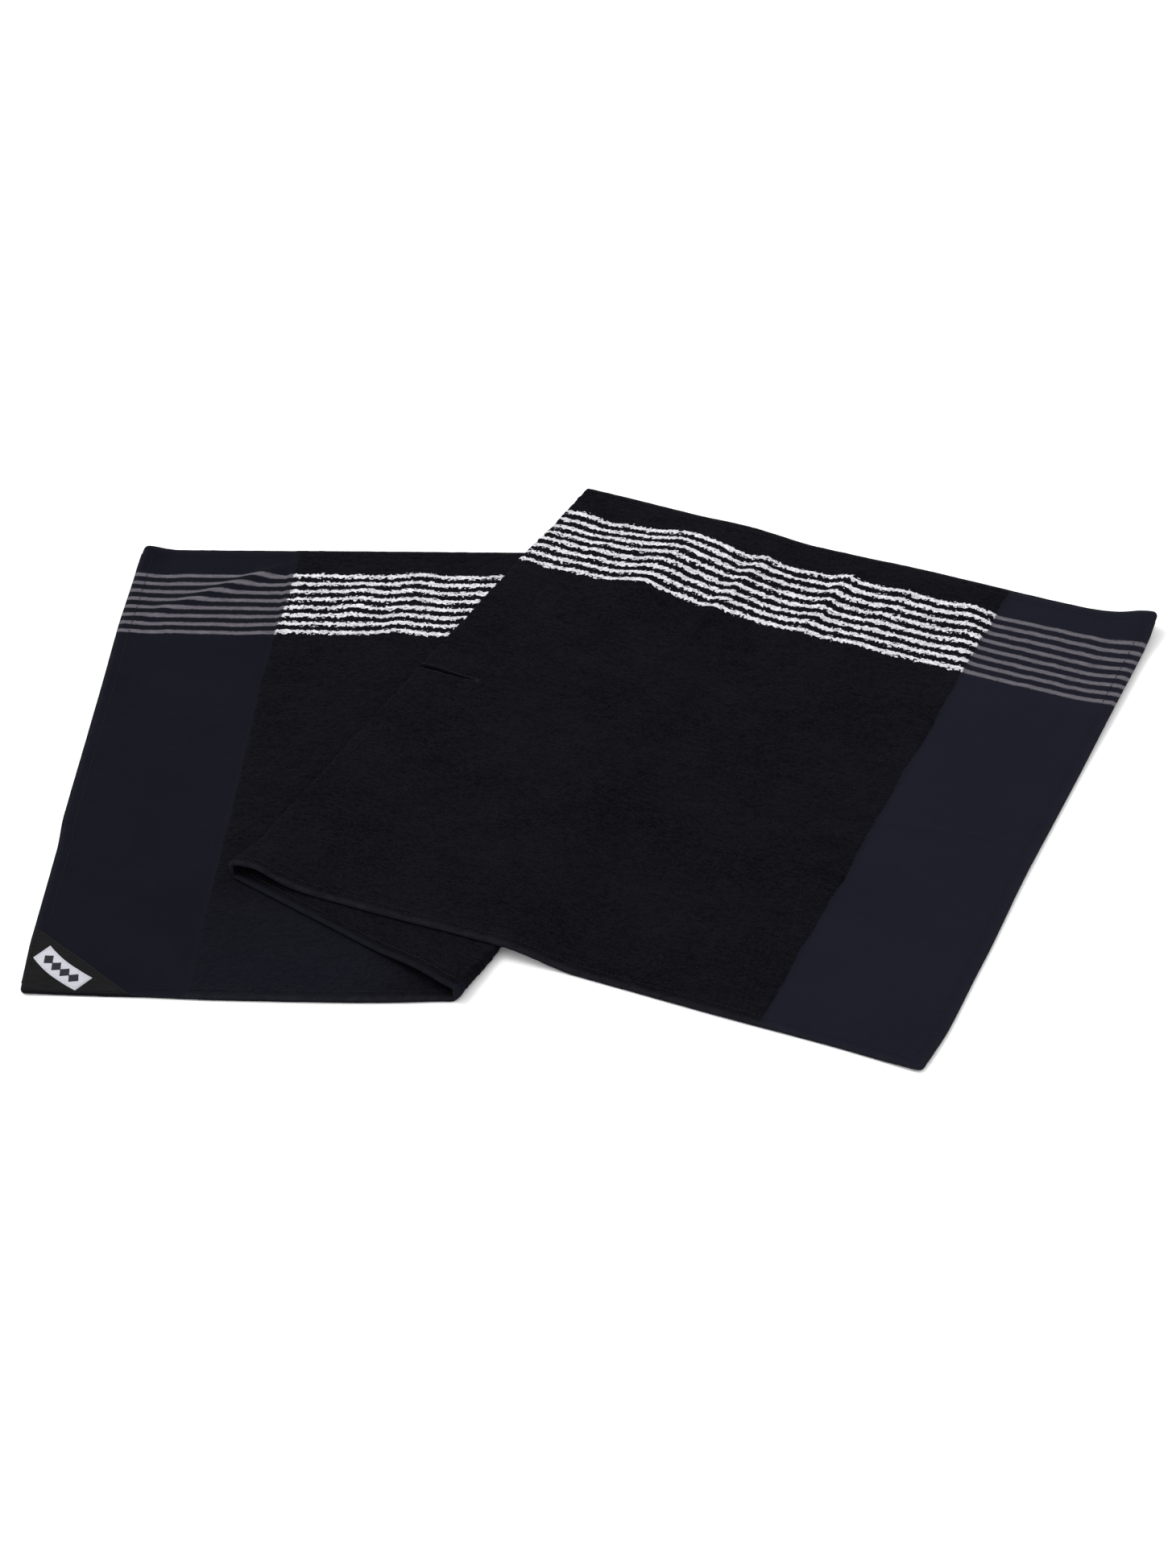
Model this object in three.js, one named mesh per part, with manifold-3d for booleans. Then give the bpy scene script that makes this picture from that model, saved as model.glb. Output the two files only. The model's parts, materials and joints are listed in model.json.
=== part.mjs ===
// A golf towel, folded twice into a flat Z, as an assembly of separate cloth pieces. Units are mm, +Z is up.
//
// Every piece is first drawn on the flat, open towel. Its cloth coordinates are s along the length, from the
// end that carries the corner patch, and t across the width, from the near long edge (-Y) to the far one. Two
// crease lines cut the towel into three layers. Each layer is then turned over about its crease into place:
//   bottom (face up, on the table), middle (reverse up) and top (face up, running off the stack to the right).
import * as THREE from "three";
import { mergeVertices } from "three/addons/utils/BufferGeometryUtils.js";
import Module from "manifold-3d";

const wasm = await Module();
wasm.setup();

// ---- driving dimensions -------------------------------------------------------------------------------------
const LENGTH = 1118; // 44 in
const WIDTH = 508; // 20 in
const FLAT_END = 127; // flat-woven band at each end, 5 in
const SIDE_HEM = 10;
const END_HEM = 12;
const TERRY = 3.2; // thickness of the looped cloth
const FLAT = 1.8; // thickness of the flat-woven cloth
const HEM = 2.2; // thickness of a turned and sewn edge
const GAP = 0.3; // clearance kept between neighbouring pieces
const LAYER_GAP = 1.0; // air between one layer and the next
const CORNER_R = 6; // rounding of the four corners

// Each crease crosses the cloth at a slant: s where it meets the near edge, and s where it meets the far edge.
const RIGHT_CREASE = { near: 335, far: 481 };
const LEFT_CREASE = { near: 568, far: 627 };

const SLIT_START = 470; // the lengthwise slit lies across the left crease, at half the width
const SLIT_END = 648;
const SLIT_OPEN = 1.5; // half of its opening where it crosses the crease
const SLIT_TIP = 0.4; // half of its opening at each end
const SLIT_EDGING = 2.2; // width of the overcast edging

const PATCH_ALONG = 87; // legs of the triangular corner patch
const PATCH_ACROSS = 69;
const PATCH_INSET = 0.8;
const PATCH = 0.8; // its thickness
const BADGE_LENGTH = 49;
const BADGE_WIDTH = 17;
const BADGE = 0.6;
const BADGE_AT = { s: 29, t: 25 };

const THREAD_WIDTH = 0.7;
const THREAD = 0.35; // how far a row of stitches stands up
const SIDE_SEAM = 8; // seam to the long edge
const END_SEAM = 10; // seam to the end of the towel

// ---- heights ------------------------------------------------------------------------------------------------
const LAYER_STEP = TERRY + LAYER_GAP;
const BIGHT_R = (2 * TERRY + LAYER_GAP) / 2; // outer radius of the rolled fold
const BIGHT_HOLLOW_R = LAYER_GAP / 2;
const STEP_FROM = 4; // the top layer leaves the stack this far beyond the right fold ...
const STEP_TO = 78; // ... and reaches the table here

// ---- materials ----------------------------------------------------------------------------------------------
const cloth = (color, roughness) => new THREE.MeshStandardMaterial({ color, roughness, metalness: 0 });
const terryCloth = cloth(0x17171c, 1);
const flatCloth = cloth(0x1e1f29, 0.9);
const hemCloth = cloth(0x1b1b23, 0.9);
const webbing = cloth(0x0f0f12, 0.7);
const badgeCloth = cloth(0xd5d4de, 0.6);
const thread = cloth(0x22222b, 0.6);

// ---- from the flat cloth to the folded one --------------------------------------------------------------------
const creaseEnds = ({ near, far }) => [new THREE.Vector2(near, 0), new THREE.Vector2(far, WIDTH)];
const creaseSlant = ({ near, far }) => Math.hypot(far - near, WIDTH) / WIDTH;

// Mirrors a point about the line through a and b.
function mirrored(point, [a, b]) {
  const along = b.clone().sub(a).normalize();
  const offset = point.clone().sub(a);
  return a.clone().add(along.multiplyScalar(2 * offset.dot(along))).sub(offset);
}

const toBottom = (point) => point.clone();
const toMiddle = (point) => mirrored(point, creaseEnds(RIGHT_CREASE));
const toTop = (point) => toMiddle(mirrored(point, creaseEnds(LEFT_CREASE)));

// A line across the cloth, as s for each t: square to the length, or along a crease and set off to one side.
const square = (s) => () => s;
const beside = (crease, side) => (t) =>
  crease.near + ((crease.far - crease.near) * t) / WIDTH + side * (BIGHT_R + GAP) * creaseSlant(crease);

// The four corners between two such lines and two values of t.
function panel(from, to, t0, t1) {
  return [[from(t0), t0], [to(t0), t0], [to(t1), t1], [from(t1), t1]];
}

// Cuts a corner of an outline to a quarter circle; index says which corner.
function withRoundCorner(outline, index, radius = CORNER_R, steps = 6) {
  const corner = new THREE.Vector2(...outline[index]);
  const before = new THREE.Vector2(...outline[(index + outline.length - 1) % outline.length]);
  const after = new THREE.Vector2(...outline[(index + 1) % outline.length]);
  const start = corner.clone().add(before.sub(corner).setLength(radius));
  const end = corner.clone().add(after.sub(corner).setLength(radius));
  const arc = new THREE.QuadraticBezierCurve(start, corner, end).getPoints(steps);
  return [...outline.slice(0, index), ...arc.map((p) => [p.x, p.y]), ...outline.slice(index + 1)];
}

// ---- solids ---------------------------------------------------------------------------------------------------
function asSolid(geometry) {
  const bare = geometry.clone();
  bare.deleteAttribute("normal");
  bare.deleteAttribute("uv");
  const merged = mergeVertices(bare, 1e-4);
  const vertProperties = new Float32Array(merged.attributes.position.array);
  const triVerts = new Uint32Array(merged.index.array);
  return new wasm.Manifold(new wasm.Mesh({ numProp: 3, vertProperties, triVerts }));
}

function asGeometry(solid) {
  const mesh = solid.getMesh();
  const geometry = new THREE.BufferGeometry();
  geometry.setAttribute("position", new THREE.BufferAttribute(new Float32Array(mesh.vertProperties), 3));
  geometry.setIndex(new THREE.BufferAttribute(new Uint32Array(mesh.triVerts), 1));
  geometry.computeVertexNormals();
  return geometry;
}

function prism(points, z0, z1, holes = []) {
  const shape = new THREE.Shape(points);
  shape.holes = holes.map((hole) => new THREE.Path(hole));
  return new THREE.ExtrudeGeometry(shape, { depth: z1 - z0, bevelEnabled: false }).translate(0, 0, z0);
}

// Underside of the top layer, p being the distance beyond the right fold: level, then a soft step down.
function topUnderside(p) {
  const u = THREE.MathUtils.smoothstep(p, STEP_FROM, STEP_TO);
  return 2 * LAYER_STEP * (1 - u);
}

// An endless sheet that follows the step, from low to high above the top layer's underside.
function steppedSheet(low, high) {
  const reach = 1500;
  const steps = 10;
  const stations = [-reach];
  for (let i = 0; i <= steps; i++) stations.push(STEP_FROM + ((STEP_TO - STEP_FROM) * i) / steps);
  stations.push(reach);
  const lower = stations.map((p) => new THREE.Vector2(p, topUnderside(p) + low));
  const upper = stations.map((p) => new THREE.Vector2(p, topUnderside(p) + high)).reverse();
  const profile = new THREE.Shape([...lower, ...upper]);
  const sheet = new THREE.ExtrudeGeometry(profile, { depth: 2 * reach, bevelEnabled: false });
  const [start, end] = creaseEnds(RIGHT_CREASE);
  const along = end.clone().sub(start).normalize();
  const across = new THREE.Vector3(along.y, -along.x, 0);
  const back = new THREE.Vector3(-along.x, -along.y, 0);
  const placed = new THREE.Matrix4().makeBasis(across, new THREE.Vector3(0, 0, 1), back);
  placed.setPosition(start.x + along.x * reach, start.y + along.y * reach, 0);
  return asSolid(sheet.applyMatrix4(placed));
}

// Lays an outline drawn on the flat cloth into its layer, between two heights above the layer's underside.
function lay(layer, outline, low, high, holes = []) {
  const place = { bottom: toBottom, middle: toMiddle, top: toTop }[layer];
  const placed = (points) => points.map(([s, t]) => place(new THREE.Vector2(s, t)));
  const base = layer === "middle" ? LAYER_STEP : 0;
  if (layer !== "top") return prism(placed(outline), base + low, base + high, holes.map(placed));
  const block = asSolid(prism(placed(outline), -1, 2 * LAYER_STEP + high + 1, holes.map(placed)));
  return asGeometry(block.intersect(steppedSheet(low, high)));
}

// The rolled cloth of a fold: half a ring run along the crease between two values of t.
function bight(crease, place, centreHeight, bulge, t0, t1) {
  const ring = new THREE.Shape();
  ring.absarc(0, 0, BIGHT_R, -Math.PI / 2, Math.PI / 2, false);
  ring.absarc(0, 0, BIGHT_HOLLOW_R, Math.PI / 2, -Math.PI / 2, true);
  const at = (t) => {
    const s = crease.near + ((crease.far - crease.near) * t) / WIDTH;
    return place(new THREE.Vector2(s, t));
  };
  const start = at(t0);
  const along = at(t1).sub(start);
  const options = { depth: along.length(), bevelEnabled: false, curveSegments: 10 };
  const geometry = new THREE.ExtrudeGeometry(ring, options);
  const axis = new THREE.Vector3(along.x, along.y, 0).normalize();
  const outward = new THREE.Vector3(axis.y, -axis.x, 0).multiplyScalar(bulge);
  const up = new THREE.Vector3(0, 0, bulge < 0 ? 1 : -1);
  const placed = new THREE.Matrix4().makeBasis(outward, up, axis);
  placed.setPosition(start.x - outward.x * BIGHT_R, start.y - outward.y * BIGHT_R, centreHeight);
  return geometry.applyMatrix4(placed);
}

// ---- the towel ------------------------------------------------------------------------------------------------
const towel = new THREE.Group();

function add(name, geometry, material) {
  const mesh = new THREE.Mesh(geometry, material);
  mesh.name = name;
  towel.add(mesh);
}

// Where each layer starts and ends along the cloth.
const layers = {
  bottom: { from: square(0), to: beside(RIGHT_CREASE, -1) },
  middle: { from: beside(RIGHT_CREASE, 1), to: beside(LEFT_CREASE, -1) },
  top: { from: beside(LEFT_CREASE, 1), to: square(LENGTH) },
};

// The two long edges, turned and sewn, and the row of stitches along each.
function addSideHems(layer) {
  const { from, to } = layers[layer];
  const sides = { near: [0, SIDE_HEM, SIDE_SEAM], far: [WIDTH - SIDE_HEM, WIDTH, WIDTH - SIDE_SEAM] };
  for (const [side, [t0, t1, seam]] of Object.entries(sides)) {
    let outline = panel(from, to, t0, t1);
    if (layer === "bottom") outline = withRoundCorner(outline, side === "near" ? 0 : 3);
    if (layer === "top") outline = withRoundCorner(outline, side === "near" ? 1 : 2);
    add(`${layer}_${side}_hem`, lay(layer, outline, 0, HEM), hemCloth);

    const underPatch = layer === "bottom" && side === "near";
    const start = underPatch ? square(PATCH_ALONG + 4) : from;
    const clearOfEnd = layer === "top" ? square(LENGTH - END_SEAM) : to;
    const first = layer === "bottom" && !underPatch ? square(END_SEAM) : start;
    const row = panel(first, clearOfEnd, seam - THREAD_WIDTH / 2, seam + THREAD_WIDTH / 2);
    add(`${layer}_${side}_hem_stitching`, lay(layer, row, HEM + GAP, HEM + GAP + THREAD), thread);
  }
}

// A flat-woven end with its own hem and stitches. edge is the end of the towel, inward points into it.
function addFlatEnd(layer, edge, inward) {
  const span = (a, b) => (inward > 0 ? [square(edge + a), square(edge + b)] : [square(edge - b), square(edge - a)]);
  const [t0, t1] = [SIDE_HEM + GAP, WIDTH - SIDE_HEM - GAP];
  add(`${layer}_flat_weave`, lay(layer, panel(...span(END_HEM + GAP, FLAT_END), t0, t1), 0, FLAT), flatCloth);
  add(`${layer}_end_hem`, lay(layer, panel(...span(0, END_HEM), t0, t1), 0, HEM), hemCloth);

  const firstStitch = layer === "bottom" ? PATCH_ACROSS + 4 : t0;
  const seam = panel(...span(END_SEAM - THREAD_WIDTH, END_SEAM), firstStitch, t1);
  add(`${layer}_end_hem_stitching`, lay(layer, seam, HEM + GAP, HEM + GAP + THREAD), thread);
}

// Points of the slit's outline at a half width, from the crease to the blind end and back. A round end is a
// half circle about the blind end; otherwise the sides run straight to the half width given for the tip.
function slitOutline(crossing, tip, halfWidth, tipHalfWidth) {
  const middle = WIDTH / 2;
  const heading = Math.sign(tip - crossing(middle));
  if (tipHalfWidth !== undefined) {
    return [
      [crossing(middle - halfWidth), middle - halfWidth],
      [tip, middle - tipHalfWidth],
      [tip, middle + tipHalfWidth],
      [crossing(middle + halfWidth), middle + halfWidth],
    ];
  }
  const points = [[crossing(middle - halfWidth), middle - halfWidth]];
  for (let i = 0; i <= 8; i++) {
    const angle = -Math.PI / 2 + (Math.PI * i) / 8;
    points.push([tip + heading * halfWidth * Math.cos(angle), middle + halfWidth * Math.sin(angle)]);
  }
  points.push([crossing(middle + halfWidth), middle + halfWidth]);
  return points;
}

// Looped cloth of a layer. Where the slit crosses the layer, its outline is notched and an edging lines it.
function addTerry(layer, from, to) {
  const [t0, t1] = [SIDE_HEM + GAP, WIDTH - SIDE_HEM - GAP];
  const outline = panel(from, to, t0, t1);
  if (layer !== "bottom") {
    const crossing = layer === "top" ? from : to;
    const tip = layer === "top" ? SLIT_END : SLIT_START;
    const edgingWidth = SLIT_OPEN + SLIT_EDGING;
    const notch = slitOutline(crossing, tip, edgingWidth + GAP);
    if (layer === "top") outline.push(...notch.slice().reverse());
    else outline.splice(2, 0, ...notch);
    const edging = [
      ...slitOutline(crossing, tip, edgingWidth),
      ...slitOutline(crossing, tip, SLIT_OPEN, SLIT_TIP).reverse(),
    ];
    add(`${layer}_slit_edging`, lay(layer, edging, (TERRY - HEM) / 2, (TERRY + HEM) / 2), thread);
  }
  add(`${layer}_terry`, lay(layer, outline, 0, TERRY), terryCloth);
}

// Triangular patch sewn on the near corner of the bottom layer, with a small badge along its slanted side.
function addCornerPatch() {
  const floor = HEM + GAP;
  const triangle = (inset) => {
    const far = inset * (1 + Math.hypot(PATCH_ALONG, PATCH_ACROSS) / PATCH_ALONG);
    const right = inset * (1 + Math.hypot(PATCH_ALONG, PATCH_ACROSS) / PATCH_ACROSS);
    return [[inset, inset], [PATCH_ALONG - right, inset], [inset, PATCH_ACROSS - far]];
  };
  const outline = withRoundCorner(triangle(PATCH_INSET), 0);
  add("corner_patch", lay("bottom", outline, floor, floor + PATCH), webbing);

  const top = floor + PATCH + GAP;
  const seam = PATCH_INSET + 1.3;
  const ring = lay("bottom", triangle(seam), top, top + THREAD, [triangle(seam + THREAD_WIDTH)]);
  add("corner_patch_stitching", ring, thread);

  const slant = -Math.atan2(PATCH_ACROSS, PATCH_ALONG);
  const corners = [[-1, -1], [1, -1], [1, 1], [-1, 1]].map(([u, v]) => {
    const point = new THREE.Vector2((u * BADGE_LENGTH) / 2, (v * BADGE_WIDTH) / 2);
    point.rotateAround(new THREE.Vector2(), slant);
    return [BADGE_AT.s + point.x, BADGE_AT.t + point.y];
  });
  add("corner_badge", lay("bottom", corners, top, top + BADGE), badgeCloth);
}

for (const layer of Object.keys(layers)) addSideHems(layer);
addFlatEnd("bottom", 0, 1);
addFlatEnd("top", LENGTH, -1);
addTerry("bottom", square(FLAT_END + GAP), layers.bottom.to);
addTerry("middle", layers.middle.from, layers.middle.to);
addTerry("top", layers.top.from, square(LENGTH - FLAT_END - GAP));
addCornerPatch();

const rightFoldHeight = BIGHT_R;
const leftFoldHeight = BIGHT_R + LAYER_STEP;
const slitSide = SLIT_OPEN + GAP;
add("right_fold", bight(RIGHT_CREASE, toBottom, rightFoldHeight, 1, 0, WIDTH), terryCloth);
add("left_fold_near", bight(LEFT_CREASE, toMiddle, leftFoldHeight, -1, 0, WIDTH / 2 - slitSide), terryCloth);
add("left_fold_far", bight(LEFT_CREASE, toMiddle, leftFoldHeight, -1, WIDTH / 2 + slitSide, WIDTH), terryCloth);

// The origin is under the middle of the folded towel, on the table.
const box = new THREE.Box3().setFromObject(towel);
const centre = box.getCenter(new THREE.Vector3());
towel.position.set(-centre.x, -centre.y, 0);

export default towel;
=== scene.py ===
# %% [markdown]
# # A folded golf towel
# The towel is one long piece of woven cloth, folded twice into a flat Z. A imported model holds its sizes,
# its layers and the two creases it turns on. This lesson loads that model and dresses it: looped terry,
# flat-woven ends, stripes, hems, stitches, a slit and a corner patch. Everything is in metres, with +Z
# up.

import json
import math

import bmesh
import bpy
import numpy as np
from mathutils import Matrix, Vector


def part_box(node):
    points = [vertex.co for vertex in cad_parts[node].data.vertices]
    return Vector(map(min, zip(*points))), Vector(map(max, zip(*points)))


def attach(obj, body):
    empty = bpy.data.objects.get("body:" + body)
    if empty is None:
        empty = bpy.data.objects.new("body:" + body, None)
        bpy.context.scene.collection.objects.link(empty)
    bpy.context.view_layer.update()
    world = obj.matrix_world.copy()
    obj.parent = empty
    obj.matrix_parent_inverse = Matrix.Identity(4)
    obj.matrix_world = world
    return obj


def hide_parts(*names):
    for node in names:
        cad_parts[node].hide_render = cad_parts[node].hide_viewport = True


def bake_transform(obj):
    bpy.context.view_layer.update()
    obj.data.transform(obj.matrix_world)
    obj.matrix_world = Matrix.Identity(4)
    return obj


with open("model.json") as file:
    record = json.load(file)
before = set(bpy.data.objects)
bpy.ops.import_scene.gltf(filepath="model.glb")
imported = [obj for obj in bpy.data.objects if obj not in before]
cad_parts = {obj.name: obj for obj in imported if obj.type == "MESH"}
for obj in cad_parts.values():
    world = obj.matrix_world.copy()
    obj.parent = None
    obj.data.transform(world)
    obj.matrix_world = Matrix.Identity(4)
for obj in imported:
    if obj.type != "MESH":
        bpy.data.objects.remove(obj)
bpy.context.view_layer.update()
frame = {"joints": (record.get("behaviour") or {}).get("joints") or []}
MM = 0.001

# %% [markdown]
# ## The camera
# The towel is seen from standing height across a table: a long lens, looking down at about 42 degrees.
# The camera is set first, because every later choice of detail depends on how large things look. A camera
# looks along its own -Z, so its matrix is built from three directions: right, up and back.

# %% Camera
AZIMUTH = math.radians(9.8)
ELEVATION = math.radians(42.3)
ROLL = math.radians(-5.7)
DISTANCE = 3.04
AIM = Vector((-0.016, -0.031, 0.0))
LENS = 92.2
SENSOR = 36.0


def make_camera():
    forward = Vector((-math.sin(AZIMUTH) * math.cos(ELEVATION),
                      math.cos(AZIMUTH) * math.cos(ELEVATION),
                      -math.sin(ELEVATION)))
    level = forward.cross(Vector((0, 0, 1))).normalized()
    above = level.cross(forward)
    right = level * math.cos(ROLL) + above * math.sin(ROLL)
    up = right.cross(forward)
    data = bpy.data.cameras.new("camera")
    data.lens = LENS
    data.sensor_width = SENSOR
    data.clip_start = 0.01
    camera = bpy.data.objects.new("camera", data)
    turn = Matrix((right, up, -forward)).transposed().to_4x4()
    camera.matrix_world = Matrix.Translation(AIM - forward * DISTANCE) @ turn
    bpy.context.scene.collection.objects.link(camera)
    bpy.context.scene.camera = camera
    return camera


camera = make_camera()
print("camera at", [round(v, 3) for v in camera.matrix_world.translation])

# %% [markdown]
# ## Cloth coordinates
# A woven thing is easiest to describe before it is folded. Each point of the open towel has two numbers:
# s along the length from the patched end, and t across the width from the near long edge. The two joints
# of the model lie along the two creases, so the fold lines are read from them, and a layer is placed by
# mirroring its flat points about one crease or both.

# %% Sizes of the open towel
LENGTH = 1.118
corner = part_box("bottom_near_hem")[0]
ORIGIN = np.array((corner.x, corner.y))
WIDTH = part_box("bottom_far_hem")[1].y - corner.y
FLAT_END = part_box("bottom_flat_weave")[1].x - corner.x
SIDE_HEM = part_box("bottom_near_hem")[1].y - corner.y
END_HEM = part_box("bottom_end_hem")[1].x - corner.x
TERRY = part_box("bottom_terry")[1].z
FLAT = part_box("bottom_flat_weave")[1].z
FOLD_R = (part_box("right_fold")[1].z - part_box("right_fold")[0].z) / 2
print(f"open towel {LENGTH:.3f} x {WIDTH:.3f} m")
print(f"flat ends {FLAT_END * 1000:.0f} mm, terry {TERRY * 1000:.1f} mm thick")


# %% The two creases
def joint_line(name):
    """A point on a joint's axis and the direction of the axis, both in plan."""
    joint = next(j for j in frame["joints"] if j["name"] == name)
    direction = np.array(joint["axis"][:2], float)
    if direction[1] < 0:
        direction = -direction
    return np.array(joint["pos_m"][:2], float) - ORIGIN, direction / np.linalg.norm(direction)


def mirrored(points, line):
    start, along = line
    offset = points - start
    return start + 2 * (offset @ along)[..., None] * along - offset


def crease_ends(line, unfold=None):
    """s where a crease meets the near edge (t = 0) and the far edge (t = WIDTH) of the open towel."""
    start, along = line
    points = np.array([start, start + along])
    if unfold is not None:
        points = mirrored(points, unfold)
    (s0, t0), (s1, t1) = points
    slope = (s1 - s0) / (t1 - t0)
    return s0 - t0 * slope, s0 + (WIDTH - t0) * slope


def crease_line(crease):
    direction = np.array((crease[1] - crease[0], WIDTH))
    return np.array((crease[0], 0.0)), direction / np.linalg.norm(direction)


def on_crease(crease, t):
    return crease[0] + (crease[1] - crease[0]) * t / WIDTH


def beside(crease, t, side):
    """s of the line that runs along a crease, one fold radius to one side of it."""
    slant = math.hypot(crease[1] - crease[0], WIDTH) / WIDTH
    return on_crease(crease, t) + side * FOLD_R * slant


RIGHT_LINE = joint_line("right_fold_hinge")
RIGHT_CREASE = crease_ends(RIGHT_LINE)
LEFT_CREASE = crease_ends(joint_line("left_fold_hinge"), RIGHT_LINE)
print("creases (s at near edge, at far edge):", np.round(RIGHT_CREASE, 4), np.round(LEFT_CREASE, 4))

# %% [markdown]
# ## Noise for shapes
# The lumps of the pile and the unevenness of the rows are real shape, and must be the same at every run.
# So noise for geometry is made here from a fixed table of random heights, with smooth steps between
# neighbours. The cells can be longer one way than the other, because loops lie in rows along the towel.

# %% Smooth noise over the cloth
LATTICE_SIZE = 256
LATTICE = np.random.default_rng(7).uniform(-1, 1, (LATTICE_SIZE, LATTICE_SIZE))
LATTICE_START = 40  # cells left free before the cloth's corner, so that no place is negative
SEED_STEP = (17.3, 9.1)  # each seed starts this many cells further on


def smoothstep(low, high, x):
    u = np.clip((x - low) / (high - low), 0, 1)
    return u * u * (3 - 2 * u)


def bump(x, width):
    """1 at zero, falling away smoothly; about a third is left at one width."""
    return np.exp(-((x / width) ** 2))


def noise(s, t, cell_s, cell_t, seed=0):
    a = s / cell_s + SEED_STEP[0] * seed + LATTICE_START
    b = t / cell_t + SEED_STEP[1] * seed + LATTICE_START
    i, j = np.floor(a).astype(int), np.floor(b).astype(int)
    u, v = smoothstep(0, 1, a - i), smoothstep(0, 1, b - j)

    def height(di, dj):
        return LATTICE[(i + di) % LATTICE_SIZE, (j + dj) % LATTICE_SIZE]

    low = height(0, 0) * (1 - u) + height(1, 0) * u
    high = height(0, 1) * (1 - u) + height(1, 1) * u
    return low * (1 - v) + high * v


# %% [markdown]
# ## Edges that stray
# No used towel has straight edges: the sewing draws them in here and lets them out there. The four edges
# are given a gentle wander, written as a few places along the edge and how far it strays outwards there.
# The four corners are turned round by squeezing a square corner into a quarter circle. Both act on the
# flat cloth, so hems, stitches and patch all follow.

# %% Wandering edges and round corners
CORNER_R = 4.5 * MM
CORNER_REACH = 1.3  # a hem's lip lies outside the cloth's edge, so the rounding runs on past 1
STRAY_DEPTH = 90 * MM
# Places along the edge and the stray outwards there, all in mm.
STRAY = {
    "patched end": ((0, 60, 150, 190, 400, 480, 508), (-2.6, -0.4, 0.0, 2.2, 2.2, 0.6, -1.0)),
    "open end": ((0, 45, 110, 220, 480, 508), (1.5, 4.0, 3.0, 0.4, 0.6, -0.4)),
    "near": ((0, 90, 150, 290, 335, 568, 790, 870, 960, 1050, 1118),
             (-0.6, 0, 1.2, 0.8, 0, 0, 0, 0.6, 1.0, 0, 1.2)),
    "far": ((0, 627, 680, 740, 800, 860, 920, 1000, 1060, 1118),
            (0, 0, 1.2, 0.3, -0.8, -0.4, 1.0, 0.2, 0.2, 0.6)),
}


def inwards(place, size):
    """Distance to the nearer of two edges, at 0 and at size."""
    return np.minimum(place, size - place)


def stray(edge, place):
    """How far an edge lies outside its straight line, at a place along it."""
    places, amounts = (np.asarray(values, float) * MM for values in STRAY[edge])
    i = np.clip(np.searchsorted(places, place) - 1, 0, len(places) - 2)
    share = smoothstep(0, 1, (place - places[i]) / (places[i + 1] - places[i]))
    return amounts[i] + (amounts[i + 1] - amounts[i]) * share


def near_edge(depth):
    """1 on an edge of the towel, 0 from STRAY_DEPTH inwards."""
    return 1 - smoothstep(0, STRAY_DEPTH, depth)


def wandered(s, t):
    """Cloth coordinates after the edges have wandered and the corners have been rounded."""
    moved_s = s - stray("patched end", t) * near_edge(s) + stray("open end", t) * near_edge(LENGTH - s)
    moved_t = t - stray("near", s) * near_edge(t) + stray("far", s) * near_edge(WIDTH - t)
    u = np.clip(1 - inwards(s, LENGTH) / CORNER_R, 0, CORNER_REACH)
    v = np.clip(1 - inwards(t, WIDTH) / CORNER_R, 0, CORNER_REACH)
    in_s = CORNER_R * u * (1 - np.sqrt(1 - v * v / 2))
    in_t = CORNER_R * v * (1 - np.sqrt(1 - u * u / 2))
    return moved_s + np.where(s < LENGTH / 2, in_s, -in_s), moved_t + np.where(t < WIDTH / 2, in_t, -in_t)


# %% [markdown]
# ## Ripples
# Where the cloth climbs over the folds below, and where the striped band has shrunk a little less than
# its hem, it buckles into low ripples. Each ripple has a crest line between two points of the cloth. It
# lifts the cloth and also drags the stripes sideways, by amounts given at both ends of its crest, and
# dies away beyond them.

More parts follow.
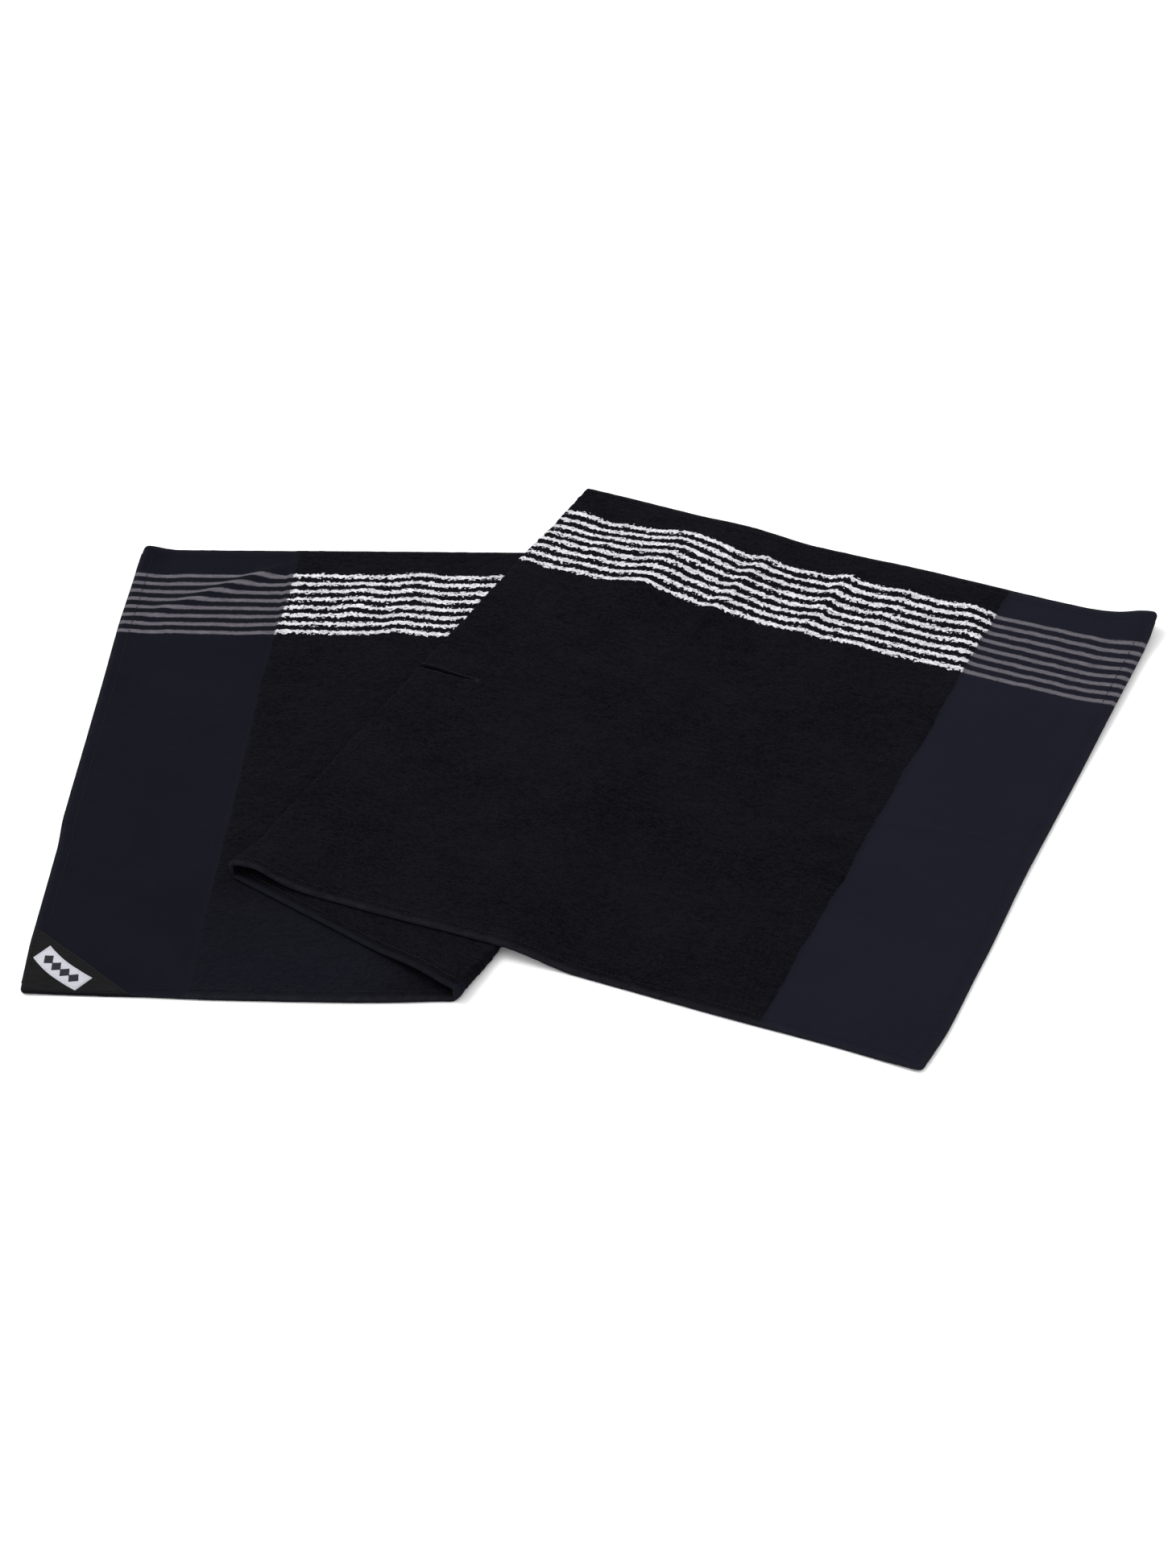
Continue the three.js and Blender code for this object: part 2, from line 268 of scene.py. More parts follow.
# %% Ripples of the cloth
# Layer, crest from (s, t) to (s, t), rise at the two ends, drag at the two ends, half width, fades.
# All in mm.
RIPPLES = [
    ("top", (722, 400), (734, 480), (3.0, 2.0), (6.5, 4.2), 21, (70, 11)),
    ("top", (781, 400), (786, 480), (0.0, 0.0), (-4.6, -5.4), 19, (60, 11)),
    ("top", (788, 400), (803, 480), (1.8, 1.8), (1.4, 1.9), 7, (60, 11)),
    ("top", (860, 400), (872, 480), (1.6, 2.6), (1.0, 2.7), 9, (70, 11)),
    ("top", (905, 400), (921, 480), (0.8, 1.2), (0.4, 0.8), 8, (60, 11)),
    ("top", (992, 400), (974, 480), (0.6, 2.0), (0.3, 1.7), 13, (40, 11)),
    ("top", (706, 104), (769, 49), (-0.9, -0.9), (0.0, 0.0), 4, (12, 12)),
    ("top", (650, 405), (664, 480), (-0.4, -0.8), (-0.6, -1.6), 12, (50, 11)),
    ("top", (587, -5), (587, 14), (0.0, 0.0), (3.4, 2.4), 22, (10, 26)),
    ("top", (612, 254), (640, 254), (0.0, 0.0), (4.5, 2.5), 34, (26, 26)),
    ("top", (636, 222), (690, 205), (0.9, 0.7), (0.0, 0.0), 7, (14, 18)),
    ("top", (668, 330), (735, 262), (0.8, 0.5), (0.0, 0.0), 9, (22, 26)),
    ("top", (655, 120), (700, 170), (0.8, 0.6), (0.0, 0.0), 8, (20, 22)),
    ("top", (742, 150), (800, 232), (-0.7, -0.5), (0.0, 0.0), 9, (26, 26)),
    ("top", (826, 120), (846, 250), (0.6, 0.7), (0.0, 0.0), 12, (30, 40)),
    ("top", (905, 60), (930, 210), (0.5, 0.5), (0.0, 0.0), 14, (30, 50)),
    ("top", (1000, 226), (1090, 237), (0.5, 0.5), (0.0, 0.0), 3.5, (14, 14)),
    ("bottom", (20, 426), (112, 481), (0.5, 1.8), (0.9, 2.9), 6, (12, 12)),
    ("bottom", (224, 400), (235, 480), (0.8, 0.8), (1.6, 2.4), 15, (40, 10)),
    ("bottom", (187, 428), (191, 456), (0.5, 0.5), (2.4, 2.4), 11, (9, 9)),
    ("bottom", (262, 400), (256, 480), (0.2, 0.2), (-1.8, -0.6), 12, (30, 10)),
]
# Apart from the ripples, no row of the weave runs quite straight: amount, length, width and seed.
UNEVEN = [(0.7, 26 * MM, 34 * MM, 21), (0.45, 9 * MM, 22 * MM, 22)]
EVEN_EDGE = 25 * MM


def ripple(s, t, start, end, half_width, fades):
    """How strongly a ripple acts at (s, t), and how far along its crest the point lies, from 0 to 1."""
    (s0, t0), (s1, t1) = start, end
    length = math.hypot(s1 - s0, t1 - t0)
    ds, dt = (s1 - s0) / length, (t1 - t0) / length
    along = (s - s0) * ds + (t - t0) * dt
    across = (s - s0) * dt - (t - t0) * ds
    fade = bump(np.minimum(along, 0), fades[0]) * bump(np.maximum(along - length, 0), fades[1])
    return bump(across, half_width) * fade, np.clip(along / length, 0, 1)


def rippled(layer, s, t):
    """Rise of the cloth and its drag across the width."""
    rise, drag = np.zeros_like(s + t), np.zeros_like(s + t)
    for on, start, end, rises, drags, half_width, fades in RIPPLES:
        if on == layer:
            strength, along = ripple(s / MM, t / MM, start, end, half_width, fades)
            rise = rise + MM * strength * (rises[0] + (rises[1] - rises[0]) * along)
            drag = drag + MM * strength * (drags[0] + (drags[1] - drags[0]) * along)
    uneven = sum(amount * noise(s, t, length, width, seed) for amount, length, width, seed in UNEVEN)
    drag = drag + MM * uneven * smoothstep(0, EVEN_EDGE, inwards(t, WIDTH))
    return rise, drag


# %% [markdown]
# ## Folding the flat cloth
# The plan of a layer is the wandered, rippled cloth, mirrored into place. At the near end of the right
# fold the cloth has rolled back on itself, so the two lower layers are drawn in there.

# %% Where a point lies once folded
CORNER_PULL = 11 * MM
PULL_ALONG = 42 * MM
PULL_ACROSS = 60 * MM


def about_right_fold(points):
    """How far points in plan lie beyond the right crease, and how far along it from its near end."""
    start, along = crease_line(RIGHT_CREASE)
    offset = points - ORIGIN - start
    return offset[..., 0] * along[1] - offset[..., 1] * along[0], offset @ along


def plan(layer, s, t):
    """Where a point of the open towel lies once its layer is folded into place, in plan."""
    drag = rippled(layer, s, t)[1]
    points = np.stack(wandered(s, t + drag), -1)
    if layer == "top":
        points = mirrored(points, crease_line(LEFT_CREASE))
    if layer != "bottom":
        points = mirrored(points, crease_line(RIGHT_CREASE))
    points = points + ORIGIN
    if layer != "top":
        beyond, along = about_right_fold(points)
        direction = crease_line(RIGHT_CREASE)[1]
        pull = CORNER_PULL * bump(along, PULL_ALONG) * bump(beyond, PULL_ACROSS)
        points = points - pull[..., None] * np.array((direction[1], -direction[0]))
    return points


# %% [markdown]
# ## The lie of the cloth
# Each layer rests on the one below it. The middle layer sinks to the table past the far edge of the
# bottom one, and the top layer steps down where it runs off the stack. A fold never lies quite flat, so
# each has some loft, most at the near end of the right fold, where one can look into it. The free corners
# have sprung up. Given functions were chosen over a cloth simulation because the folds must land
# exactly on the creases of the model.

# %% Heights of the layers
SETTLED = TERRY + 0.2 * MM
SINKS_FROM = -6 * MM
SINKS_TO = 34 * MM
STEP_FROM = 2 * MM
STEP_TO = 62 * MM
# Loft of each fold: all along, then a height and its reach at the near end, and the same at the far end.
RIGHT_LOFT = (0.5 * MM, (5.0 * MM, 46 * MM), (1.2 * MM, 60 * MM))
RIGHT_LOFT_DEPTH = 26 * MM
LEFT_LOFT = (0.8 * MM, (1.4 * MM, 24 * MM), (1.4 * MM, 70 * MM))
LEFT_LOFT_DEPTH = 42 * MM
# The hollow between the layers at the near end of the right fold.
HOLLOW = 6.5 * MM
HOLLOW_AT = (-44 * MM, 6 * MM)
HOLLOW_REACH = (30 * MM, 40 * MM)
# The roll of the top layer at the near end of the left fold.
ROLLED = 6.5 * MM
ROLLED_AT = 17 * MM
ROLLED_REACH = (25 * MM, 24 * MM)
# Lifted ends: reach, height at the near edge and at the far edge, and where across the width it changes.
END_CURLS = {
    "top": (34 * MM, 0.5 * MM, 3.7 * MM, 300 * MM, 420 * MM),
    "bottom": (26 * MM, 0.0, 2.2 * MM, 330 * MM, 430 * MM),
}
# Lifted corners: layer, place, height, and reach along the length and across the width.
CORNER_LIFTS = [
    ("top", (LENGTH - 6 * MM, WIDTH), 8.5 * MM, (30 * MM, 27.27 * MM)),
    ("top", (LENGTH, 0.0), 0.8 * MM, (30 * MM, 30 * MM)),
    ("bottom", (0.0, WIDTH), 2.6 * MM, (17 * MM, 17 * MM)),
    ("bottom", (0.0, 0.0), 0.7 * MM, (24 * MM, 24 * MM)),
]
# A slow swell lifts the lower and the upper layer a little; it dies away at their edges and creases.
SWELL = 0.35 * MM
SWELL_CELL = (60 * MM, 75 * MM)
SWELL_EDGE = 40 * MM
SWELL_RIGHT = 60 * MM
SWELL_LEFT = (20 * MM, 90 * MM)


def loft(along, everywhere, near, far):
    """Loft of a fold, along its crease."""
    return everywhere + near[0] * bump(along, near[1]) + far[0] * bump(along - WIDTH, far[1])


def lie_of_middle(points):
    beyond, along = about_right_fold(points)
    past_far_edge = points[..., 1] - ORIGIN[1] - WIDTH
    rest = SETTLED * (1 - smoothstep(SINKS_FROM, SINKS_TO, past_far_edge))
    lofted = loft(along, *RIGHT_LOFT) * bump(np.minimum(beyond, 0), RIGHT_LOFT_DEPTH)
    hollow = bump(beyond - HOLLOW_AT[0], HOLLOW_REACH[0]) * bump(along - HOLLOW_AT[1], HOLLOW_REACH[1])
    return rest + lofted + HOLLOW * hollow


def left_loft(s, t):
    """Loft of the top layer near the left crease."""
    depth = s - on_crease(LEFT_CREASE, t)
    rolled = ROLLED * bump(depth - ROLLED_AT, ROLLED_REACH[0]) * bump(t, ROLLED_REACH[1])
    return rolled + loft(t, *LEFT_LOFT) * bump(np.maximum(depth, 0), LEFT_LOFT_DEPTH)


def sprung(layer, s, t):
    """How far the free end of a layer and its two corners have sprung up."""
    reach, near, far, start, stop = END_CURLS[layer]
    from_end = s if layer == "bottom" else LENGTH - s
    rise = (1 - smoothstep(0, reach, from_end)) * (near + (far - near) * smoothstep(start, stop, t))
    for on, place, height, reaches in CORNER_LIFTS:
        if on == layer:
            rise = rise + height * bump(s - place[0], reaches[0]) * bump(t - place[1], reaches[1])
    return rise


def lie_of_top(s, t):
    points = plan("top", s, t)
    beyond = about_right_fold(points)[0]
    stack = (lie_of_middle(points) + SETTLED) * (1 - smoothstep(STEP_FROM, STEP_TO, beyond))
    return stack + rippled("top", s, t)[0] + left_loft(s, t) + sprung("top", s, t)


def lie(layer, s, t):
    """Height of the underside of a layer over the table."""
    if layer == "middle":
        return lie_of_middle(plan("middle", s, t))
    swell = SWELL * (1 + noise(s, t, *SWELL_CELL, 3)) * smoothstep(0, SWELL_EDGE, inwards(t, WIDTH))
    if layer == "bottom":
        swell = swell * smoothstep(0, SWELL_RIGHT, on_crease(RIGHT_CREASE, t) - s)
        return swell + rippled("bottom", s, t)[0] + sprung("bottom", s, t)
    return lie_of_top(s, t) + swell * smoothstep(*SWELL_LEFT, s - on_crease(LEFT_CREASE, t))


# %% [markdown]
# ## Thickness, pile and borders
# Terry stands about 3 mm thick, the flat-woven ends less than 2 mm. The loops lie in short rows along the
# length, so the pile's lumps are longer than they are wide. The white stripes stand a little proud. Along
# each border the cloth rounds off, and on the reverse it is cut back to make room for the turned hem.

# %% Surfaces of the cloth
STRIPES = 8
STRIPE_PITCH = 9.9 * MM
STRIPE_HALF = 2.0 * MM
FIRST_STRIPE = WIDTH - 34.3 * MM
LOOPS_FROM = FLAT_END - 1.5 * MM
LOOPS_TO = LENGTH - FLAT_END + 4.5 * MM
LOOPS_SOFT = 2.0 * MM
STRIPE_SOFT = 0.8 * MM
STRIPE_PROUD = 0.35 * MM
# Lumps of the pile: length, width, height in the terry, height in the flat weave, and a seed.
LUMPS = [
    (6.5 * MM, 2.3 * MM, 0.32 * MM, 0.04 * MM, 0),
    (2.6 * MM, 2.0 * MM, 0.34 * MM, 0.0, 5),
    (24 * MM, 18 * MM, 0.20 * MM, 0.05 * MM, 9),
]
HEM_RECESS = 1.0 * MM
RECESS_SOFT = 1.5 * MM
ROUND_EDGE = 2.2 * MM
FACE_ROUNDING = 0.45  # share of the thickness that the face loses at a border
REVERSE_ROUNDING = 0.3  # the reverse rounds off by this share of that
PILE_FADE = 1.5 * MM
PILE_LEFT = 0.3
CLEAR = 0.15 * MM


def terry_share(s):
    """1 in the looped middle of the towel, 0 in the flat-woven ends."""
    begun = smoothstep(LOOPS_FROM - LOOPS_SOFT, LOOPS_FROM + LOOPS_SOFT, s)
    return begun * (1 - smoothstep(LOOPS_TO - LOOPS_SOFT, LOOPS_TO + LOOPS_SOFT, s))


def border(s, t):
    """Distance to the nearest edge of the open towel."""
    return np.minimum(inwards(s, LENGTH), inwards(t, WIDTH))


def on_stripe(t):
    nearest = np.clip(np.round((FIRST_STRIPE - t) / STRIPE_PITCH), 0, STRIPES - 1)
    distance = np.abs(FIRST_STRIPE - nearest * STRIPE_PITCH - t)
    return 1 - smoothstep(STRIPE_HALF - STRIPE_SOFT, STRIPE_HALF + STRIPE_SOFT, distance)


def pile(s, t, side):
    """Height of the loops on one side of the cloth. side is 1 for the face, 2 for the reverse."""
    share = terry_share(s)
    height = STRIPE_PROUD * on_stripe(t) * share
    for length, width, looped, woven, seed in LUMPS:
        height = height + noise(s, t, length, width, side + seed) * (woven + (looped - woven) * share)
    return height


def thickness(s):
    return FLAT + (TERRY - FLAT) * terry_share(s)


def hem_recess(s, t):
    """How far the reverse is cut back under the turned hems."""
    side = smoothstep(SIDE_HEM - RECESS_SOFT, SIDE_HEM, inwards(t, WIDTH))
    end = smoothstep(END_HEM - RECESS_SOFT, END_HEM, inwards(s, LENGTH))
    return HEM_RECESS * (1 - side * end)


def quarter_round(x):
    """Rises from 0 to 1 as a quarter circle while x goes from 0 to 1."""
    return np.sqrt(1 - (1 - np.clip(x, 0, 1)) ** 2)


def with_height(xy, z):
    """Points in plan joined with their heights, none of them below the table."""
    return np.concatenate([xy, np.maximum(z, CLEAR)[..., None]], -1)


def faces_up(layer, side):
    return (side == 1) != (layer == "middle")


def surface(layer, s, t, side, recess=True):
    """Height over the table of the face (side 1) or the reverse (side 2) of a layer."""
    edge = np.maximum(border(s, t), 0)
    rounding = FACE_ROUNDING * thickness(s) * (1 - quarter_round(edge / ROUND_EDGE))
    if side == 2:
        rounding = REVERSE_ROUNDING * rounding + (hem_recess(s, t) if recess else 0)
    inward = rounding - pile(s, t, side) * np.clip(edge / PILE_FADE, PILE_LEFT, 1)
    base = lie(layer, s, t)
    height = base + thickness(s) - inward if faces_up(layer, side) else base + inward
    return np.maximum(height, CLEAR)


def skin(layer, s, t, side, lift=0.0):
    """Points on one side of a layer, standing lift clear of the cloth."""
    height = surface(layer, s, t, side, recess=False) + (lift if faces_up(layer, side) else -lift)
    return with_height(plan(layer, s, t), height)


# %% [markdown]
# ## The slit
# A lengthwise slit crosses the left crease, so the towel can hang from a club. It lies nearly closed. Its
# lips are made by moving the rows of the mesh apart: most at the crease, and less and less towards each
# blind end.

# %% How far the slit opens
SLIT_START = 0.470
SLIT_END = 0.648
SLIT_OPEN = 2.3 * MM
SLIT_SPREAD = 6 * MM
SLIT_T = WIDTH / 2


def slit_gap(s, t):
    """Half the opening of the slit at s on the row t."""
    crease = on_crease(LEFT_CREASE, SLIT_T)
    towards_end = np.clip((SLIT_END - s) / (SLIT_END - crease), 0, 1)
    towards_start = np.clip((s - SLIT_START) / (crease - SLIT_START), 0, 1)
    share = np.where(s > crease, towards_end, towards_start)
    return SLIT_OPEN * np.sqrt(share) * np.exp(-np.abs(t - SLIT_T) / SLIT_SPREAD)


# %% [markdown]
# ## Building a cloth slab
# A layer is a closed slab: a fine grid on the side that shows, a coarser grid on the other, and a wall
# round the rim. The rows run across the towel and the columns along it. The slit is a row that is doubled
# as far as the blind end, so the two lips part. Every vertex also keeps its cloth coordinates in an
# attribute, which the materials read: that way a weave or stripe runs unbroken over a fold.

# %% Mesh helpers
COARSE = 4
ROWS = 288
SLIT_ROW = ROWS // 2
T_LINES = np.linspace(0, WIDTH, ROWS + 1)
SHARP = math.radians(65)


def new_piece(name, vertices, faces, attribute=None, values=None):
    """An object from vertices and faces, shaded smooth except over sharp rims, with one vector attribute."""
    mesh = bpy.data.meshes.new(name)
    mesh.from_pydata(np.asarray(vertices).tolist(), [], [list(map(int, face)) for face in faces])
    if attribute:
        mesh.attributes.new(attribute, "FLOAT_VECTOR", "POINT").data.foreach_set(
            "vector", np.asarray(values, np.float32).ravel())
    tidy = bmesh.new()
    tidy.from_mesh(mesh)
    bmesh.ops.delete(tidy, geom=[v for v in tidy.verts if not v.link_faces], context="VERTS")
    bmesh.ops.recalc_face_normals(tidy, faces=tidy.faces)
    tidy.to_mesh(mesh)
    tidy.free()
    mesh.polygons.foreach_set("use_smooth", [True] * len(mesh.polygons))
    mesh.set_sharp_from_angle(angle=SHARP)
    piece = bpy.data.objects.new(name, mesh)
    bpy.context.scene.collection.objects.link(piece)
    return piece


def grid_faces(ids, cut_row=None):
    """Quads of a grid of vertex numbers, leaving out the strip between the two copies of a doubled row."""
    quads = np.stack([ids[:-1, :-1], ids[1:, :-1], ids[1:, 1:], ids[:-1, 1:]], -1)
    if cut_row is not None:
        quads = np.delete(quads, cut_row, axis=1)
    return quads.reshape(-1, 4)


def wall(fine, coarse, step=1):
    """Closes the rim between one border of the fine grid and the same border of the coarse one."""
    return [[*fine[k * step:(k + 1) * step + 1], coarse[k + 1], coarse[k]] for k in range(len(coarse) - 1)]


def shell(rows, columns):
    """Faces of two like grids of vertices, numbered one after the other and joined round the rim."""
    one = np.arange(rows * columns).reshape(rows, columns)
    two = one + one.size
    faces = list(grid_faces(one)) + list(grid_faces(two))
    for rim in (np.s_[0], np.s_[-1], np.s_[:, 0], np.s_[:, -1]):
        faces += wall(one[rim], two[rim])
    return faces


# %% A slab of cloth
def one_side(layer, side, s, t, lip, first):
    """Vertices and cloth coordinates of one side of a slab."""
    points = with_height(plan(layer, s, t + lip * slit_gap(s, t)), surface(layer, s, t, side))
    cloth = np.stack([s, t, np.full_like(s, side - 1.0)], -1)
    ids = first + np.arange(s.size).reshape(s.shape)
    return points.reshape(-1, 3), cloth.reshape(-1, 3), ids


def slab(name, layer, s_of, columns, parted=None):
    """A layer of cloth. s_of(column, t) gives s; parted says in which columns the slit is open."""
    shown = 2 if layer == "middle" else 1
    rows = np.arange(ROWS + 1)
    lips = np.zeros(ROWS + 1)
    if parted is not None:
        rows = np.insert(rows, SLIT_ROW, SLIT_ROW)
        lips = np.where(np.arange(ROWS + 2) <= SLIT_ROW, -1.0, 1.0)
    vertices, cloth, faces, sides = [], [], [], []
    for side, step in ((shown, 1), (3 - shown, COARSE)):
        column = np.arange(0, columns + 1, step)
        kept = np.flatnonzero(rows % step == 0)
        t = np.broadcast_to(T_LINES[rows[kept]], (len(column), len(kept)))
        first = sum(map(len, vertices))
        points, coordinates, ids = one_side(layer, side, s_of(column[:, None], t), t, lips[kept], first)
        cut = None
        if parted is not None:
            cut = SLIT_ROW // step
            whole = ~parted[column]
            ids[whole, cut + 1] = ids[whole, cut]
        vertices.append(points)
        cloth.append(coordinates)
        faces.extend(grid_faces(ids, cut))
        sides.append((ids, cut))
    (fine, cut), (coarse, coarse_cut) = sides
    faces += wall(fine[:, 0], coarse[:, 0], COARSE) + wall(fine[:, -1], coarse[:, -1], COARSE)
    for end in (0, -1):
        if parted is None:
            faces += wall(fine[end], coarse[end], COARSE)
        else:
            faces += wall(fine[end, :cut + 1], coarse[end, :coarse_cut + 1], COARSE)
            faces += wall(fine[end, cut + 1:], coarse[end, coarse_cut + 1:], COARSE)
    if parted is not None:
        open_columns = np.flatnonzero(parted)
        low, high = max(open_columns[0] - 1, 0), min(open_columns[-1] + 1, columns)
        for lip in (0, 1):
            coarse_lip = coarse[low // COARSE:high // COARSE + 1, coarse_cut + lip]
            faces += wall(fine[low:high + 1, cut + lip], coarse_lip, COARSE)
    return new_piece(name, np.concatenate(vertices), faces, "cloth", np.concatenate(cloth))


# %% The three layers
FLAT_COLUMNS = 72
BOTTOM_COLUMNS = 156
MIDDLE_COLUMNS = 100
TOP_COLUMNS = 216


def spread(start, stop, columns):
    """s of evenly spaced columns between two lines across the towel, each given as a function of t."""
    return lambda column, t: start(t) + (stop(t) - start(t)) * column / columns


def end_to_end(first, columns, second):
    """Two spreads one after the other, as one function of the column."""
    return lambda column, t: np.where(column <= columns, first(column, t), second(column - columns, t))


def across(s):
    """A line straight across the towel."""
    return lambda t: s + 0 * t


def along_crease(crease, side):
    return lambda t: beside(crease, t, side)


def blind_end(s_of, columns, s):
    """The column nearest to the blind end of the slit, on one that the coarse side shares."""
    column = np.arange(columns + 1)
    exact = np.interp(s, s_of(column, np.full(columns + 1, SLIT_T)), column)
    return COARSE * round(float(exact) / COARSE)


patched_flat = spread(across(0), across(FLAT_END), FLAT_COLUMNS)
bottom_terry = spread(across(FLAT_END), along_crease(RIGHT_CREASE, -1), BOTTOM_COLUMNS)
flat_then_terry = end_to_end(patched_flat, FLAT_COLUMNS, bottom_terry)
bottom_columns = FLAT_COLUMNS + BOTTOM_COLUMNS
between_folds = spread(along_crease(RIGHT_CREASE, 1), along_crease(LEFT_CREASE, -1), MIDDLE_COLUMNS)
top_terry = spread(along_crease(LEFT_CREASE, 1), across(LENGTH - FLAT_END), TOP_COLUMNS)
open_flat = spread(across(LENGTH - FLAT_END), across(LENGTH), FLAT_COLUMNS)
terry_then_flat = end_to_end(top_terry, TOP_COLUMNS, open_flat)
top_columns = TOP_COLUMNS + FLAT_COLUMNS

bottom_cloth = slab("bottom_cloth", "bottom", flat_then_terry, bottom_columns)
middle_tip = blind_end(between_folds, MIDDLE_COLUMNS, SLIT_START)
middle_parted = np.arange(MIDDLE_COLUMNS + 1) > middle_tip
middle_cloth = slab("middle_cloth", "middle", between_folds, MIDDLE_COLUMNS, middle_parted)
top_tip = blind_end(terry_then_flat, top_columns, SLIT_END)
top_parted = np.arange(top_columns + 1) < top_tip
top_cloth = slab("top_cloth", "top", terry_then_flat, top_columns, top_parted)
for piece in (bottom_cloth, middle_cloth, top_cloth):
    print(piece.name, len(piece.data.polygons), "faces")

# %% [markdown]
# ## The folds
# At a crease the cloth rolls over in a half ring. Each fold is a strip of its own: one end meets the lower
# layer, the other the upper one. Its ends use the same height functions as the layers, so no seam shows.
# Towards its two ends the roll tucks in, which rounds the corner of the fold.

# %% Fold strips
ARC = 14
FOLD_CORNER = 13 * MM
FOLD_TUCK = 0.5  # share of its bulge that a fold keeps at its very ends
INNER_BULGE = 0.3 * MM
# Crease, lower layer, upper layer, and the side of the cloth on the outside of the roll.
FOLDS = {"right": (RIGHT_CREASE, "bottom", "middle", 2), "left": (LEFT_CREASE, "middle", "top", 1)}


def fold_skin(fold, share, t, lip, side, lift=0.0):
    """Points on a fold, share of the way round it. lip is -1 or 1 beside the slit and 0 away from it."""
    crease, lower, upper, outer_side = FOLDS[fold]
    low_s, high_s = beside(crease, t, -1), beside(crease, t, 1)
    low = plan(lower, low_s, t + lip * slit_gap(low_s, t))
    high = plan(upper, high_s, t + lip * slit_gap(high_s, t))
    direction = bulge_direction(fold)

    def heights(side):
        return surface(lower, low_s, t, side, False), surface(upper, high_s, t, side, False)

    z0, z1 = heights(side)
    outer0, outer1 = heights(outer_side)
    tuck = FOLD_TUCK + (1 - FOLD_TUCK) * quarter_round(inwards(t, WIDTH) / FOLD_CORNER)
    bulge = (outer1 - outer0) / 2 * tuck
    if side != outer_side:
        bulge = np.maximum(bulge - TERRY, INNER_BULGE)
    s = low_s + (high_s - low_s) * share
    angle = math.pi * (share - 0.5)
    out = lift + pile(s, t, side) * np.cos(angle) * (1 if side == outer_side else -1)
    xy = low + (high - low) * share + direction * ((bulge + out) * np.cos(angle))[:, None]
    z = (z0 + z1) / 2 + ((z1 - z0) / 2 + out) * np.sin(angle)
    return np.column_stack([xy, z]), np.column_stack([s, t, np.full_like(s, side - 1.0)])


def bulge_direction(fold):
    """The direction in plan in which a fold bulges: square to the crease, away from the layers."""
    if fold == "right":
        along = crease_line(RIGHT_CREASE)[1]
        return np.array((along[1], -along[0]))
    well_inside = T_LINES[[60, -60]]
    ends = plan("middle", on_crease(LEFT_CREASE, well_inside), well_inside)
    along = (ends[1] - ends[0]) / np.linalg.norm(ends[1] - ends[0])
    return np.array((-along[1], along[0]))


def fold_strip(name, fold, rows, lip=0):
    t = T_LINES[rows]
    vertices, cloth = [], []
    for side in (1, 2):
        for k in range(ARC + 1):
            points, coordinates = fold_skin(fold, k / ARC, t, lip, side)
            vertices.append(points)
            cloth.append(coordinates)
    return new_piece(name, np.concatenate(vertices), shell(ARC + 1, len(t)), "cloth", np.concatenate(cloth))


right_fold_cloth = fold_strip("right_fold_cloth", "right", np.arange(ROWS + 1))
left_fold_cloth_near = fold_strip("left_fold_cloth_near", "left", np.arange(SLIT_ROW + 1), -1)
left_fold_cloth_far = fold_strip("left_fold_cloth_far", "left", np.arange(SLIT_ROW, ROWS + 1), 1)
print("three fold strips,", len(right_fold_cloth.data.polygons), "faces in the longest")

# %% [markdown]
# ## The turned hems
# Along each free edge the cloth is turned to the reverse and sewn down, which leaves a flat band and a
# rounded lip that wraps the edge. Each hem is swept as a strip: one outline of the band, drawn as
# distance from the edge and height over the reverse, repeated every few millimetres. The hem puckers a
# little between its stitches.

# %% Hem strips
HEM_STEP = 3 * MM
HEM_OVERLAP = 0.4 * MM
# Outline of a hem in mm: distance in from the edge, and height over the reverse side of the cloth.
HEM_OUTLINE = np.array([
    (1.0, 0.95), (0.98, 0.5), (0.94, 0.15), (0.8, 0.0), (0.45, 0.0), (0.1, 0.05), (0.02, 0.2), (-0.035, 0.6),
    (-0.05, 1.1), (-0.035, 1.6), (0.03, 1.85), (0.09, 1.5), (0.12, 0.95),
])
HEM_FOLD = 0.95 * MM  # above this the outline wraps the edge of the cloth
HEM_MIDDLE = 0.45
HEM_END = 0.5 * MM
HEM_TUCK = 0.55
HEM_NARROW = 0.9
LIP_LEFT = 0.25  # share of the lip that would be left if the cloth had no thickness to wrap
HEM_CORE = 0.6 * MM
PUCKER = 0.14 * MM
PUCKER_CELL = (4.5 * MM, 4 * MM)


def middle_of(node):
    """The middle of a node of the model, from the corner of the towel."""
    low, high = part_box(node)
    return (low + high) / 2 - corner


STITCHED_T = middle_of("bottom_near_hem_stitching").y
STITCHED_S = middle_of("bottom_end_hem_stitching").x


def on_edge(edge, place, depth):
    """Cloth coordinates at a place along an edge, depth in from it."""
    if edge == "near":
        return place, depth
    if edge == "far":
        return place, WIDTH - depth
    return (depth, place) if edge == "patched end" else (LENGTH - depth, place)


